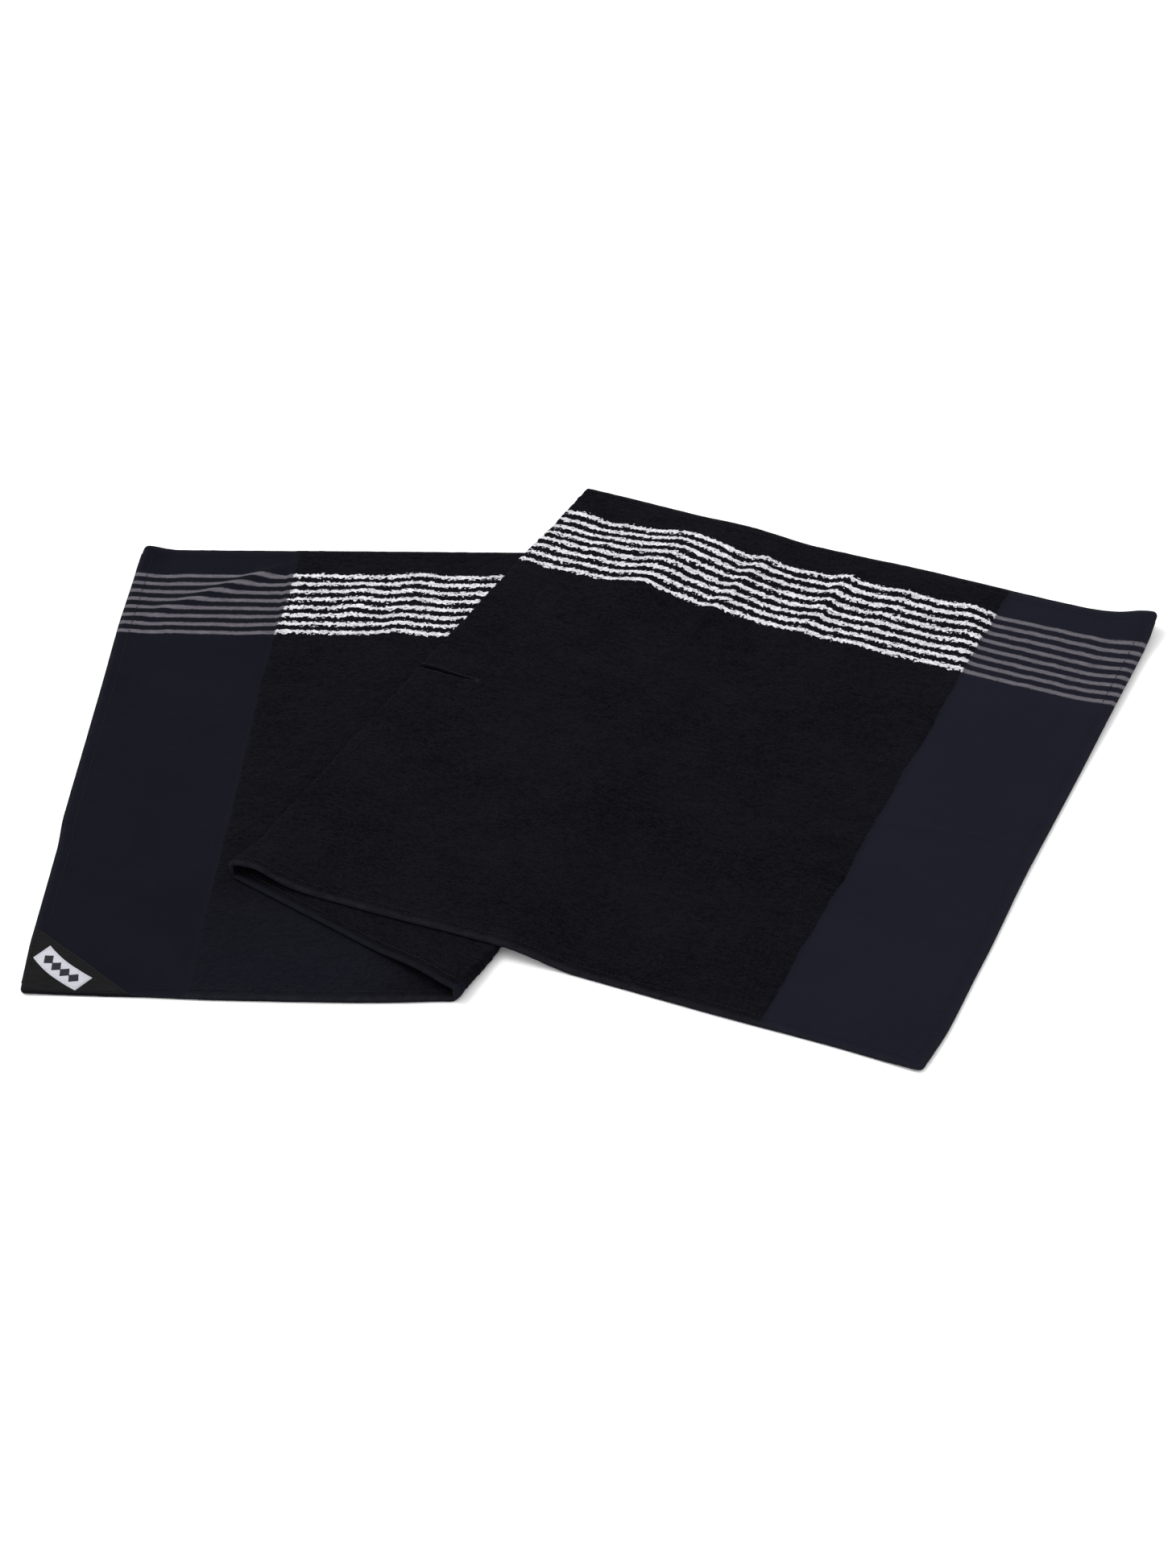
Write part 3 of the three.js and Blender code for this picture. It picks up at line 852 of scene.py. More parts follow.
def hem_strip(name, layer, edge, start, stop):
    """A turned hem on one edge of a layer, between two places along it."""
    depth = SIDE_HEM if edge in ("near", "far") else END_HEM
    places = np.linspace(start, stop, 2 + int((stop - start) / HEM_STEP))
    places = np.concatenate([[start, start + HEM_END], places[1:-1], [stop - HEM_END, stop]])[:, None]
    tuck = np.ones_like(places)
    tuck[[0, -1]] = HEM_TUCK
    breadth = HEM_NARROW + (1 - HEM_NARROW) * tuck
    inward = (HEM_MIDDLE + (HEM_OUTLINE[:, 0] - HEM_MIDDLE) * breadth) * depth
    s, t = np.broadcast_arrays(*on_edge(edge, places, inward))
    height = HEM_OUTLINE[:, 1] * MM
    # On the thinner flat weave the lip has less to wrap.
    lip_room = LIP_LEFT + (1 - LIP_LEFT) * (thickness(s) - HEM_FOLD) / (TERRY - HEM_FOLD)
    height = np.where(height > HEM_FOLD, HEM_FOLD + (height - HEM_FOLD) * lip_room, height)
    height = HEM_CORE + (height - HEM_CORE) * tuck + PUCKER * noise(places, inward, *PUCKER_CELL, 31)
    base = lie(layer, np.clip(s, 0, LENGTH), np.clip(t, 0, WIDTH))
    points = with_height(plan(layer, s, t), base + (thickness(s) - height if layer == "middle" else height))
    ids = np.arange(s.size).reshape(s.shape)
    ring = np.concatenate([ids, ids[:, :1]], 1)
    faces = list(grid_faces(ring)) + [list(ids[0]), list(ids[-1])]
    cloth = np.stack([s, t, np.full_like(s, 1.0)], -1)
    return new_piece(name, points.reshape(-1, 3), faces, "cloth", cloth.reshape(-1, 3))


def reach(layer, edge):
    """Where a hem of a layer starts and stops along its edge."""
    if edge in ("patched end", "open end"):
        return SIDE_HEM - HEM_OVERLAP, WIDTH - SIDE_HEM + HEM_OVERLAP
    t = 0.0 if edge == "near" else WIDTH
    starts = {"bottom": 0.0, "middle": beside(RIGHT_CREASE, t, 1), "top": beside(LEFT_CREASE, t, 1)}
    stops = {"bottom": beside(RIGHT_CREASE, t, -1), "middle": beside(LEFT_CREASE, t, -1), "top": LENGTH}
    return starts[layer], stops[layer]


HEMS = {
    "bottom_near_hem": ("bottom", "near"), "bottom_far_hem": ("bottom", "far"),
    "bottom_end_hem": ("bottom", "patched end"), "middle_near_hem": ("middle", "near"),
    "middle_far_hem": ("middle", "far"), "top_near_hem": ("top", "near"), "top_far_hem": ("top", "far"),
    "top_end_hem": ("top", "open end"),
}
hems = {}
for node_name, (layer, edge) in HEMS.items():
    hems[node_name] = hem_strip(node_name.replace("_hem", "_turned_hem"), layer, edge, *reach(layer, edge))
print(len(hems), "turned hems")

# %% [markdown]
# ## Thread
# Every seam is sewn with real stitches, because a painted dashed line looks false as soon as the light
# grazes it. A stitch is a short tube that dives into the cloth at both ends. One function makes many
# tubes in one mesh: it carries a round section along each path, and keeps in an attribute how far along
# and how far round each vertex lies, so the material can twist the thread.

# %% Many tubes in one mesh
THREAD_SIDES = 6
THREAD_TAPER = 0.6
SLANT = np.array((0.013, 0.007, 0.31))  # gives straight threads a sideways direction too


def thread_piece(name, paths, radius):
    """One mesh of round threads. paths is an array of tubes x points x 3."""
    paths = np.asarray(paths, float)
    forward = np.gradient(paths, axis=1)
    forward /= np.linalg.norm(forward, axis=-1, keepdims=True)
    span = np.cross(forward[:, 0], forward[:, -1] + 1e-3 * paths[:, 0] + SLANT)
    span = np.broadcast_to((span / np.linalg.norm(span, axis=-1, keepdims=True))[:, None], paths.shape)
    side = np.cross(forward, span)
    side /= np.linalg.norm(side, axis=-1, keepdims=True)
    over = np.cross(side, forward)
    count = paths.shape[1]
    girth = np.full(count, radius)
    girth[[0, -1]] *= THREAD_TAPER
    turns = np.arange(THREAD_SIDES) / THREAD_SIDES
    wave_a, wave_b = np.cos(2 * math.pi * turns), np.sin(2 * math.pi * turns)
    ring = side[:, :, None] * wave_a[:, None] + over[:, :, None] * wave_b[:, None]
    vertices = paths[:, :, None] + ring * girth[:, None, None]
    steps = np.linalg.norm(np.diff(paths, axis=1), axis=-1)
    along = np.concatenate([np.zeros((len(paths), 1)), np.cumsum(steps, 1)], 1)
    number = np.arange(len(paths))[:, None, None] * np.ones((1, count, THREAD_SIDES))
    strand = np.stack([np.broadcast_to(along[:, :, None], number.shape),
                       np.broadcast_to(turns, number.shape), number], -1)
    ids = np.arange(number.size).reshape(number.shape)
    around = np.concatenate([ids, ids[:, :, :1]], 2)
    faces = np.concatenate([grid_faces(tube) for tube in around]).tolist()
    faces += ids[:, 0].tolist() + ids[:, -1].tolist()
    return new_piece(name, vertices.reshape(-1, 3), faces, "strand", strand.reshape(-1, 3))


# %% Rows of stitches along the hems
STITCH = 2.9 * MM
STITCH_PITCH = 3.6 * MM
STITCH_SHIFT = 0.15 * MM
STITCH_WOBBLE = 0.25 * MM
THREAD_R = 0.27 * MM
STITCH_PROFILE = np.array((-0.45, 0.10, 0.20, 0.10, -0.45)) * MM
STITCH_SHAPE = np.array((-0.5, -0.36, 0.0, 0.36, 0.5)) * STITCH


def seam(layer, edge, start, stop):
    """Stitches along one edge of a layer. Those on the reverse fall between those on the face."""
    depth = STITCHED_T if edge in ("near", "far") else STITCHED_S
    centres = np.arange(start + STITCH_PITCH, stop - STITCH_PITCH / 2, STITCH_PITCH)
    centres = centres + STITCH_SHIFT * noise(centres, centres, 9 * MM, 9 * MM, 41)
    wobble = STITCH_WOBBLE * noise(centres, centres, 30 * MM, 30 * MM, 43)
    paths = []
    for side in (1, 2):
        places = centres[:, None] + STITCH_SHAPE + (side - 1) * STITCH_PITCH / 2
        s, t = np.broadcast_arrays(*on_edge(edge, places, depth + wobble[:, None] + 0 * places))
        paths.append(skin(layer, s, t, side, STITCH_PROFILE))
    return np.concatenate(paths)


def seam_reach(layer, edge):
    start, stop = reach(layer, edge)
    if layer == "bottom" and edge == "near":
        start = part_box("bottom_near_hem_stitching")[0].x - corner.x
    if layer == "bottom" and edge == "patched end":
        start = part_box("bottom_end_hem_stitching")[0].y - corner.y
    if layer == "bottom" and edge == "far":
        start = STITCHED_S
    if layer == "top" and edge in ("near", "far"):
        stop = LENGTH - STITCHED_S
    return start, stop


seams = {}
for node_name, (layer, edge) in HEMS.items():
    paths = seam(layer, edge, *seam_reach(layer, edge))
    seams[node_name + "_stitching"] = thread_piece(node_name + "_stitches", paths, THREAD_R)
print(len(seams), "seams,", sum(len(p.data.polygons) for p in seams.values()), "faces")

# %% [markdown]
# ## The overcast slit
# The lips of the slit are bound with close stitches that go round the edge of the cloth, from face to
# reverse, and a short bar of stitches closes each blind end. Each binding stitch is a tube bent over the
# lip. Where the slit crosses the crease, the same stitches follow the rolled cloth.

# %% Binding stitches
BIND_PITCH = 1.15 * MM
BIND_DEPTH = 2.2 * MM
BIND_R = 0.3 * MM
BIND_TURN = 0.6 * MM
BIND_IN = np.array((1.0, 0.7, 0.3)) * BIND_DEPTH
BIND_LIFT = np.array((-0.3, 0.12, 0.15)) * MM
BAR_STITCHES = 4
BAR_FROM, BAR_TO = 0.4 * MM, 2.6 * MM
BAR_HALF = 1.1 * BIND_DEPTH
BAR_LIFT = np.array((-0.3, 0.12, 0.2, 0.22, 0.2, 0.12, -0.3)) * MM


def over_the_lip(face, reverse):
    """Joins points going in to the lip on the face with points going back out on the reverse."""
    turn = (face[:, -1:] + reverse[:, :1]) / 2
    outward = turn - (face[:, :1] + reverse[:, -1:]) / 2
    outward /= np.linalg.norm(outward, axis=-1, keepdims=True)
    return np.concatenate([face, turn + BIND_TURN * outward, reverse], 1)


def lip_stitches(layer, start, stop):
    s = np.arange(start, stop, BIND_PITCH)[:, None]
    paths = []
    for lip in (-1, 1):
        t = SLIT_T + lip * BIND_IN
        moved = t + lip * slit_gap(s, t)
        face = skin(layer, s + 0 * t, moved, 1, BIND_LIFT)
        reverse = skin(layer, s + 0 * t, moved, 2, BIND_LIFT)[:, ::-1]
        paths.append(over_the_lip(face, reverse))
    return np.concatenate(paths)


def bar_stitches(layer, tip, heading):
    """Stitches across the blind end of the slit, on both sides."""
    s = tip + heading * np.linspace(BAR_FROM, BAR_TO, BAR_STITCHES)[:, None]
    t = SLIT_T + np.linspace(-BAR_HALF, BAR_HALF, len(BAR_LIFT))
    return np.concatenate([skin(layer, s + 0 * t, t + 0 * s, side, BAR_LIFT) for side in (1, 2)])


def bound_slit(layer, tip, heading, start, stop):
    paths = np.concatenate([lip_stitches(layer, start, stop), bar_stitches(layer, tip, heading)])
    return thread_piece(layer + "_slit_binding", paths, BIND_R)


middle_binding = bound_slit("middle", SLIT_START, -1, SLIT_START, beside(LEFT_CREASE, SLIT_T, -1))
top_binding = bound_slit("top", SLIT_END, 1, beside(LEFT_CREASE, SLIT_T, 1), SLIT_END)


FOLD_STITCHES = np.linspace(0.08, 0.92, 9)  # shares of the way round the fold


def binding_on_fold(lip):
    """Binding stitches round the lip of one half of the left fold."""

    def stitch_end(share, side, lift):
        t = SLIT_T + lip * BIND_IN
        return np.stack([fold_skin("left", share, t[k:k + 1], lip, side, lift[k])[0][0] for k in range(3)])

    paths = []
    for share in FOLD_STITCHES:
        face, reverse = stitch_end(share, 1, BIND_LIFT), stitch_end(share, 2, -BIND_LIFT)[::-1]
        paths.append(over_the_lip(face[None], reverse[None])[0])
    return thread_piece("fold_slit_binding_" + ("near" if lip < 0 else "far"), np.array(paths), BIND_R)


fold_bindings = [binding_on_fold(-1), binding_on_fold(1)]
print("slit bound:", len(middle_binding.data.polygons) + len(top_binding.data.polygons), "faces of thread")

# %% [markdown]
# ## The corner patch and its badge
# A triangle of webbing stiffens the near corner, and a small woven badge is sewn along its slanted side.
# Both are thin pads laid on the cloth. A pad is a grid over a four-sided outline, with a soft shoulder
# towards its border, and it takes its height from the cloth below, so it bends with the corner.

# %% Pads laid on the cloth
PATCH_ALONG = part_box("corner_patch")[1].x - corner.x
PATCH_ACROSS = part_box("corner_patch")[1].y - corner.y
PATCH_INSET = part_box("corner_patch")[0].x - corner.x
PATCH_TOP = 0.9 * MM
BADGE_TOP = 0.6 * MM
SHOULDER = 1.1 * MM
PAD_SINK = 0.3 * MM
PAD_RIM = 0.35  # share of its height that a pad has at the very border


def face_height(s, t):
    """Height of the face of the bottom layer, without its loops."""
    return lie("bottom", s, t) + thickness(s)


def pad(name, s, t, depth, low, high):
    """A thin pad over the points (s, t) of the bottom layer; depth is the distance in from its border."""
    foot = face_height(s, t) + low
    top = foot + (high - low) * (PAD_RIM + (1 - PAD_RIM) * quarter_round(depth / SHOULDER))
    xy = plan("bottom", s, t)
    vertices = np.concatenate([with_height(xy, z).reshape(-1, 3) for z in (top, foot - PAD_SINK)])
    cloth = np.stack([s, t, np.zeros_like(s)], -1).reshape(-1, 3)
    return new_piece(name, vertices, shell(*s.shape), "cloth", np.concatenate([cloth, cloth]))


def even_with_shoulders(count, length):
    """Places from 0 to 1 along a pad, with extra ones close to both borders for the shoulder."""
    edge = np.array((0, 0.08, 0.25, 0.55)) * SHOULDER / length
    inner = np.linspace(SHOULDER / length, 1 - SHOULDER / length, count)
    return np.concatenate([edge, inner, 1 - edge[::-1]])


# %% The triangular patch
PATCH_TIP = 0.985  # the grid stops short of the far tip, which leaves it a little blunt


def make_patch():
    u = even_with_shoulders(60, PATCH_ALONG)[:, None]
    v = even_with_shoulders(52, PATCH_ACROSS)[None, :] * PATCH_TIP
    s = PATCH_INSET + u * (1 - v) * (PATCH_ALONG - PATCH_INSET)
    t = PATCH_INSET + v * (PATCH_ACROSS - PATCH_INSET) + 0 * u
    slope = math.hypot(PATCH_ALONG, PATCH_ACROSS)
    to_slant = (1 - s / PATCH_ALONG - t / PATCH_ACROSS) * PATCH_ALONG * PATCH_ACROSS / slope
    depth = np.minimum(np.minimum(s, t) - PATCH_INSET, np.maximum(to_slant, 0))
    return pad("corner_patch_webbing", s, t, depth, 0.0, PATCH_TOP)


corner_patch = make_patch()
print(f"patch {PATCH_ALONG * 1000:.0f} x {PATCH_ACROSS * 1000:.0f} mm")

# %% The badge along the slant
BADGE_LENGTH = 49 * MM
BADGE_WIDTH = 17 * MM
BADGE_BOW = 2.6 * MM
BADGE_TILT = math.radians(40.3)


def on_badge(x, y):
    """Cloth coordinates of a point of the badge: x along it, y across it, away from the corner."""
    centre = middle_of("corner_badge")
    bowed = y - BADGE_BOW * (1 - (2 * x / BADGE_LENGTH) ** 2)
    along, away = math.cos(BADGE_TILT), math.sin(BADGE_TILT)
    return centre[0] + x * along + bowed * away, centre[1] - x * away + bowed * along


def make_badge():
    u = even_with_shoulders(48, BADGE_LENGTH)[:, None]
    v = even_with_shoulders(18, BADGE_WIDTH)[None, :]
    x, y = np.broadcast_arrays((u - 0.5) * BADGE_LENGTH, (v - 0.5) * BADGE_WIDTH)
    depth = np.minimum(BADGE_LENGTH / 2 - np.abs(x), BADGE_WIDTH / 2 - np.abs(y))
    return pad("woven_badge", *on_badge(x, y), depth, PATCH_TOP, PATCH_TOP + BADGE_TOP)


corner_badge = make_badge()

# %% Stitches of the patch and the badge
SEAM_IN = 2.0 * MM
BADGE_SEAM_IN = 1.3 * MM
BADGE_PITCH = 2.2 * MM
BADGE_STITCH = 1.8 * MM
BADGE_THREAD_R = 0.2 * MM


def stitch_line(start, end, place, base, pitch=STITCH_PITCH, length=STITCH):
    """Stitches on a straight line of a pad, from start to end in the pad's own coordinates."""
    start, end = np.array(start), np.array(end)
    span = np.linalg.norm(end - start)
    centres = np.arange(pitch / 2, span, pitch)[:, None] + STITCH_SHAPE * length / STITCH
    points = start + (end - start) * (np.clip(centres, 0, span) / span)[..., None]
    s, t = place(points[..., 0], points[..., 1])
    return with_height(plan("bottom", s, t), face_height(s, t) + base + STITCH_PROFILE)


def straight(s, t):
    return s, t


def patch_stitches():
    slope = math.hypot(PATCH_ALONG, PATCH_ACROSS)
    corner_in = PATCH_INSET + SEAM_IN
    far_s = PATCH_ALONG - SEAM_IN * (PATCH_ALONG + slope) / PATCH_ACROSS
    far_t = PATCH_ACROSS - SEAM_IN * (PATCH_ACROSS + slope) / PATCH_ALONG
    corners = [(corner_in, corner_in), (far_s, corner_in), (corner_in, far_t)]
    sides = [(corners[0], corners[1]), (corners[1], corners[2]), (corners[2], corners[0])]
    return np.concatenate([stitch_line(a, b, straight, PATCH_TOP) for a, b in sides])


def badge_stitches():
    x, y = BADGE_LENGTH / 2 - BADGE_SEAM_IN, BADGE_WIDTH / 2 - BADGE_SEAM_IN
    corners = [(-x, -y), (x, -y), (x, y), (-x, y), (-x, -y)]
    sewing = (on_badge, PATCH_TOP + BADGE_TOP, BADGE_PITCH, BADGE_STITCH)
    return np.concatenate([stitch_line(a, b, *sewing) for a, b in zip(corners, corners[1:])])


patch_thread = thread_piece("corner_patch_stitches", patch_stitches(), THREAD_R)
badge_thread = thread_piece("badge_border_stitches", badge_stitches(), BADGE_THREAD_R)

# %% [markdown]
# ## A motif for the badge
# The badge carries a plain row of four lozenges, the old diamond check of golfing socks. They are worked
# in satin stitch: threads laid side by side, each as long as the shape is high at that place.

# %% Satin-stitched lozenges
LOZENGES = np.array((-14.4, -4.8, 4.8, 14.4)) * MM
LOZENGE_HALF = 4.8 * MM
LOZENGE_HIGH = 5.5 * MM
SATIN_PITCH = 0.42 * MM
SATIN_R = 0.24 * MM
SATIN_LIFT = np.array((-0.25, 0.12, 0.24, 0.28, 0.24, 0.12, -0.25)) * MM
SATIN_SHAPE = np.array((-1, -0.8, -0.45, 0, 0.45, 0.8, 1))


def lozenge_threads():
    paths = []
    for centre in LOZENGES:
        for x in np.arange(-LOZENGE_HALF + SATIN_PITCH, LOZENGE_HALF, SATIN_PITCH):
            half = LOZENGE_HIGH * (1 - abs(x) / LOZENGE_HALF)
            s, t = on_badge(centre + x, SATIN_SHAPE * half)
            z = face_height(s, t) + PATCH_TOP + BADGE_TOP + SATIN_LIFT
            paths.append(with_height(plan("bottom", s, t), z))
    return paths


badge_motif = thread_piece("badge_lozenges", lozenge_threads(), SATIN_R)
print(len(LOZENGES), "lozenges of", len(badge_motif.data.polygons), "faces")

# %% [markdown]
# ## A thread end
# Where a seam was finished off, a small knot with a short tail is left at the edge of the middle layer.

# %% Knot in the near hem of the middle layer
KNOT_AT = (0.545, 0.4 * MM)
KNOT_SIZE = 0.315 * MM
KNOT_SHIFT = np.array((0, -0.6, -0.2)) * MM
TAIL = np.array((2.6, -1.6, -1.2)) * MM
KNOT_POINTS = 60
KNOT_THREAD_R = 0.28 * MM


def make_knot():
    """A trefoil knot, which is the path of an overhand knot, and its tail."""
    turn = np.linspace(0, 2 * math.pi, KNOT_POINTS)
    x = np.sin(turn) + 2 * np.sin(2 * turn)
    y = np.cos(turn) - 2 * np.cos(2 * turn)
    loops = np.column_stack([x, y, -np.sin(3 * turn)])
    edge = skin("middle", *(np.array([v]) for v in KNOT_AT), 2)[0]
    knot = edge + KNOT_SIZE * loops + KNOT_SHIFT
    tail = knot[-1] + np.linspace(0, 1, KNOT_POINTS)[:, None] * TAIL
    return thread_piece("finishing_knot", [knot, tail], KNOT_THREAD_R)


finishing_knot = make_knot()

# %% [markdown]
# ## Small tools for materials
# A material here is a graph of nodes. Short helpers keep the graphs readable: one adds a node and fills
# its sockets, a few do arithmetic, and one blends two colours. Another opens a node group with named
# sockets.

# %% Node helpers
def put(tree, kind, inputs=None, **settings):
    """Adds a node. inputs gives a value, or another node's output, for a socket by name or number."""
    made = tree.nodes.new(kind)
    for key, value in settings.items():
        setattr(made, key, value)
    for socket, value in (inputs or {}).items():
        if isinstance(value, bpy.types.NodeSocket):
            tree.links.new(value, made.inputs[socket])
        else:
            made.inputs[socket].default_value = value
    made.location = (len(tree.nodes) % 8 * 200, -(len(tree.nodes) // 8) * 280)
    return made


def calc(tree, operation, *values):
    return put(tree, "ShaderNodeMath", dict(enumerate(values)), operation=operation).outputs[0]


def times(tree, a, b):
    return calc(tree, "MULTIPLY", a, b)


def plus(tree, a, b):
    return calc(tree, "ADD", a, b)


def minus(tree, a, b):
    return calc(tree, "SUBTRACT", a, b)


def to_edge(tree, place, size):
    """Distance to the nearer of two edges, at 0 and at size."""
    return calc(tree, "MINIMUM", place, minus(tree, size, place))


def cloth_coordinates(tree):
    """s, t and side of the cloth, kept on every vertex of a woven piece."""
    return put(tree, "ShaderNodeAttribute", attribute_name="cloth").outputs["Vector"]


def blend_colors(tree, factor, first, second):
    return put(tree, "ShaderNodeMix", {0: factor, 6: first, 7: second}, data_type="RGBA").outputs[2]


def ease(tree, value, low, high, from_value=0.0, to_value=1.0):
    """A smooth step of value between low and high."""
    sockets = {"Value": value, "From Min": low, "From Max": high, "To Min": from_value, "To Max": to_value}
    return put(tree, "ShaderNodeMapRange", sockets, interpolation_type="SMOOTHSTEP").outputs[0]


def cells(tree, cloth, size_s, size_t, kind="ShaderNodeTexNoise", **settings):
    """A texture over the cloth whose cells are size_s long and size_t wide, in metres."""
    size = put(tree, "ShaderNodeCombineXYZ", {0: size_s, 1: size_t, 2: 0.13}).outputs[0]
    scaled = put(tree, "ShaderNodeVectorMath", {0: cloth, 1: size}, operation="DIVIDE").outputs[0]
    sockets = {"Vector": scaled, "Scale": 1.0}
    if kind == "ShaderNodeTexNoise":
        sockets.update({"Detail": 2.0, "Roughness": 0.55})
    return put(tree, kind, sockets, **settings).outputs[0]


def new_group(name, inputs, outputs):
    """A node group with named sockets; returns the tree and its input sockets by name."""
    tree = bpy.data.node_groups.new(name, "ShaderNodeTree")
    for socket, kind, value in inputs:
        made = tree.interface.new_socket(socket, in_out="INPUT", socket_type=kind)
        if kind == "NodeSocketFloat":
            made.default_value = value
    for socket in outputs:
        tree.interface.new_socket(socket, in_out="OUTPUT", socket_type="NodeSocketFloat")
    sockets = tree.nodes.new("NodeGroupInput").outputs
    return tree, {socket.name: socket for socket in sockets if socket.name}


def close_group(tree, **results):
    """Wires results to the group's outputs; a name's underscores stand for spaces."""
    put(tree, "NodeGroupOutput", {name.replace("_", " "): value for name, value in results.items()})


def place(tree, group, **values):
    """Puts a group in a material with its own values; returns its outputs."""
    inputs = {name.replace("_", " "): value for name, value in values.items()}
    return put(tree, "ShaderNodeGroup", inputs, node_tree=group).outputs


# %% [markdown]
# ## Loop pile
# Terry is a field of small yarn loops. Seen close, each loop is a round head with a dark gap round it;
# from a step back, the loops clump in short rows along the towel. The group joins both: round cells for
# the heads, stretched noise for the rows and a broad unevenness.

# %% The loop pile group
VECTOR, NUMBER = "NodeSocketVector", "NodeSocketFloat"


def make_pile_group():
    sockets = [("Cloth", VECTOR, None), ("Loop length", NUMBER, 0.0017), ("Loop width", NUMBER, 0.0013)]
    tree, given = new_group("loop pile", sockets, ("Height", "Shade"))
    cloth, length, width = given["Cloth"], given["Loop length"], given["Loop width"]
    heads = cells(tree, cloth, length, width, "ShaderNodeTexVoronoi", feature="F1")
    dome = minus(tree, 1.0, times(tree, heads, 1.1))
    rows = cells(tree, cloth, times(tree, length, 3.4), times(tree, width, 1.5))
    broad = cells(tree, cloth, times(tree, length, 14), times(tree, width, 11))
    # The rows weigh more than the single heads, and deep places get painted shade, darker than high ones.
    height = plus(tree, times(tree, dome, 0.42), times(tree, rows, 0.58))
    shade = plus(tree, times(tree, height, 0.8), times(tree, broad, 0.25))
    close_group(tree, Height=height, Shade=ease(tree, shade, 0.28, 0.78))
    return tree


loop_pile = make_pile_group()

# %% [markdown]
# ## Plain weave
# The flat ends, the hems, the webbing and the badge are all plain weaves of different fineness: each
# thread goes over one and under the next. Two sine waves multiplied give that chequer of small hills. A
# little noise thickens some threads, as slubs do.

# %% The plain weave group
def make_weave_group():
    sockets = [("Cloth", VECTOR, None), ("Warp pitch", NUMBER, 0.0008), ("Weft pitch", NUMBER, 0.0008)]
    tree, given = new_group("plain weave", sockets, ("Height", "Shade"))
    s, t = put(tree, "ShaderNodeSeparateXYZ", {0: given["Cloth"]}).outputs[:2]
    wave = [calc(tree, "SINE", times(tree, calc(tree, "DIVIDE", along, pitch), math.pi))
            for along, pitch in ((s, given["Warp pitch"]), (t, given["Weft pitch"]))]
    chequer = times(tree, *wave)
    slubs = cells(tree, given["Cloth"], times(tree, given["Warp pitch"], 14), given["Weft pitch"])
    height = plus(tree, times(tree, chequer, 0.3), times(tree, slubs, 0.6))
    close_group(tree, Height=plus(tree, height, 0.2), Shade=ease(tree, slubs, 0.3, 0.7))
    return tree


plain_weave = make_weave_group()

# %% [markdown]
# ## Lengthwise stripes
# Eight stripes run the whole length near the far edge. In the terry they are rows of white loops, so
# their borders are ragged; in the flat ends they are plain grey and clean. One group makes both: it
# measures the distance to the nearest stripe, after noise has pushed the cloth a little to and fro.

# %% The stripes group
TOOTH = (3.1 * MM, 2.3 * MM)  # length and width of the noise that pushes single loops out of line
TOOTH_PUSH = 5.46
SWAY = (9 * MM, 4 * MM)  # and of the noise that sways a row of them
SWAY_PUSH = 1.82


def make_stripes_group():
    sockets = [("Cloth", VECTOR, None), ("Half width", NUMBER, STRIPE_HALF), ("Wander", NUMBER, 0.0008),
               ("Softness", NUMBER, 0.0003)]
    tree, given = new_group("lengthwise stripes", sockets, ("Mask",))
    t = put(tree, "ShaderNodeSeparateXYZ", {0: given["Cloth"]}).outputs[1]
    teeth = times(tree, minus(tree, cells(tree, given["Cloth"], *TOOTH), 0.5), TOOTH_PUSH)
    sway = times(tree, minus(tree, cells(tree, given["Cloth"], *SWAY), 0.5), SWAY_PUSH)
    pushed = plus(tree, t, times(tree, plus(tree, teeth, sway), given["Wander"]))
    number = calc(tree, "DIVIDE", minus(tree, FIRST_STRIPE, pushed), STRIPE_PITCH)
    nearest = calc(tree, "MINIMUM", calc(tree, "MAXIMUM", calc(tree, "ROUND", number), 0.0), STRIPES - 1.0)
    away = times(tree, calc(tree, "ABSOLUTE", minus(tree, number, nearest)), STRIPE_PITCH)
    inner = minus(tree, given["Half width"], given["Softness"])
    outer = plus(tree, given["Half width"], given["Softness"])
    close_group(tree, Mask=ease(tree, away, inner, outer, 1.0, 0.0))
    return tree


stripes = make_stripes_group()

# %% [markdown]
# ## Wash, wear and edge highlight
# Dark cotton never stays one colour: it fades in soft patches, and its edges are rubbed pale first.
# Rolled edges also catch the light, and the same pale border band paints that highlight. The group gives a
# slow drift over the cloth and a border band, rubbed wear and painted highlight together, that is strongest
# at the border and broken up by noise.

# %% The wear and edge highlight group
def make_wear_and_highlight_group():
    sockets = [("Cloth", VECTOR, None), ("Rub width", NUMBER, 0.004)]
    tree, given = new_group("wear and edge highlight", sockets, ("Drift", "Rub"))
    s, t = put(tree, "ShaderNodeSeparateXYZ", {0: given["Cloth"]}).outputs[:2]
    edge = calc(tree, "MINIMUM", to_edge(tree, s, LENGTH), to_edge(tree, t, WIDTH))
    patches = cells(tree, given["Cloth"], 85 * MM, 60 * MM)
    broken = cells(tree, given["Cloth"], 11 * MM, 7 * MM)
    # The border band: partly rubbed wear, partly a painted highlight on rolled edges; noise breaks it up.
    border_ramp_wear_and_highlight = ease(tree, edge, 0.0, given["Rub width"], 1.0, 0.0)
    rub_and_highlight = times(tree, border_ramp_wear_and_highlight, ease(tree, broken, 0.2, 0.8, 0.35, 0.85))
    drift = plus(tree, times(tree, patches, 0.75), times(tree, broken, 0.25))
    close_group(tree, Drift=ease(tree, drift, 0.3, 0.7), Rub=rub_and_highlight)
    return tree


wear_and_edge_highlight = make_wear_and_highlight_group()

# %% [markdown]
# ## Twisted thread
# A sewing thread is two plies wound round each other. The tubes know how far along and round each point
# lies, so a sine wave of the two together runs round them like the stripes of a barber's pole.

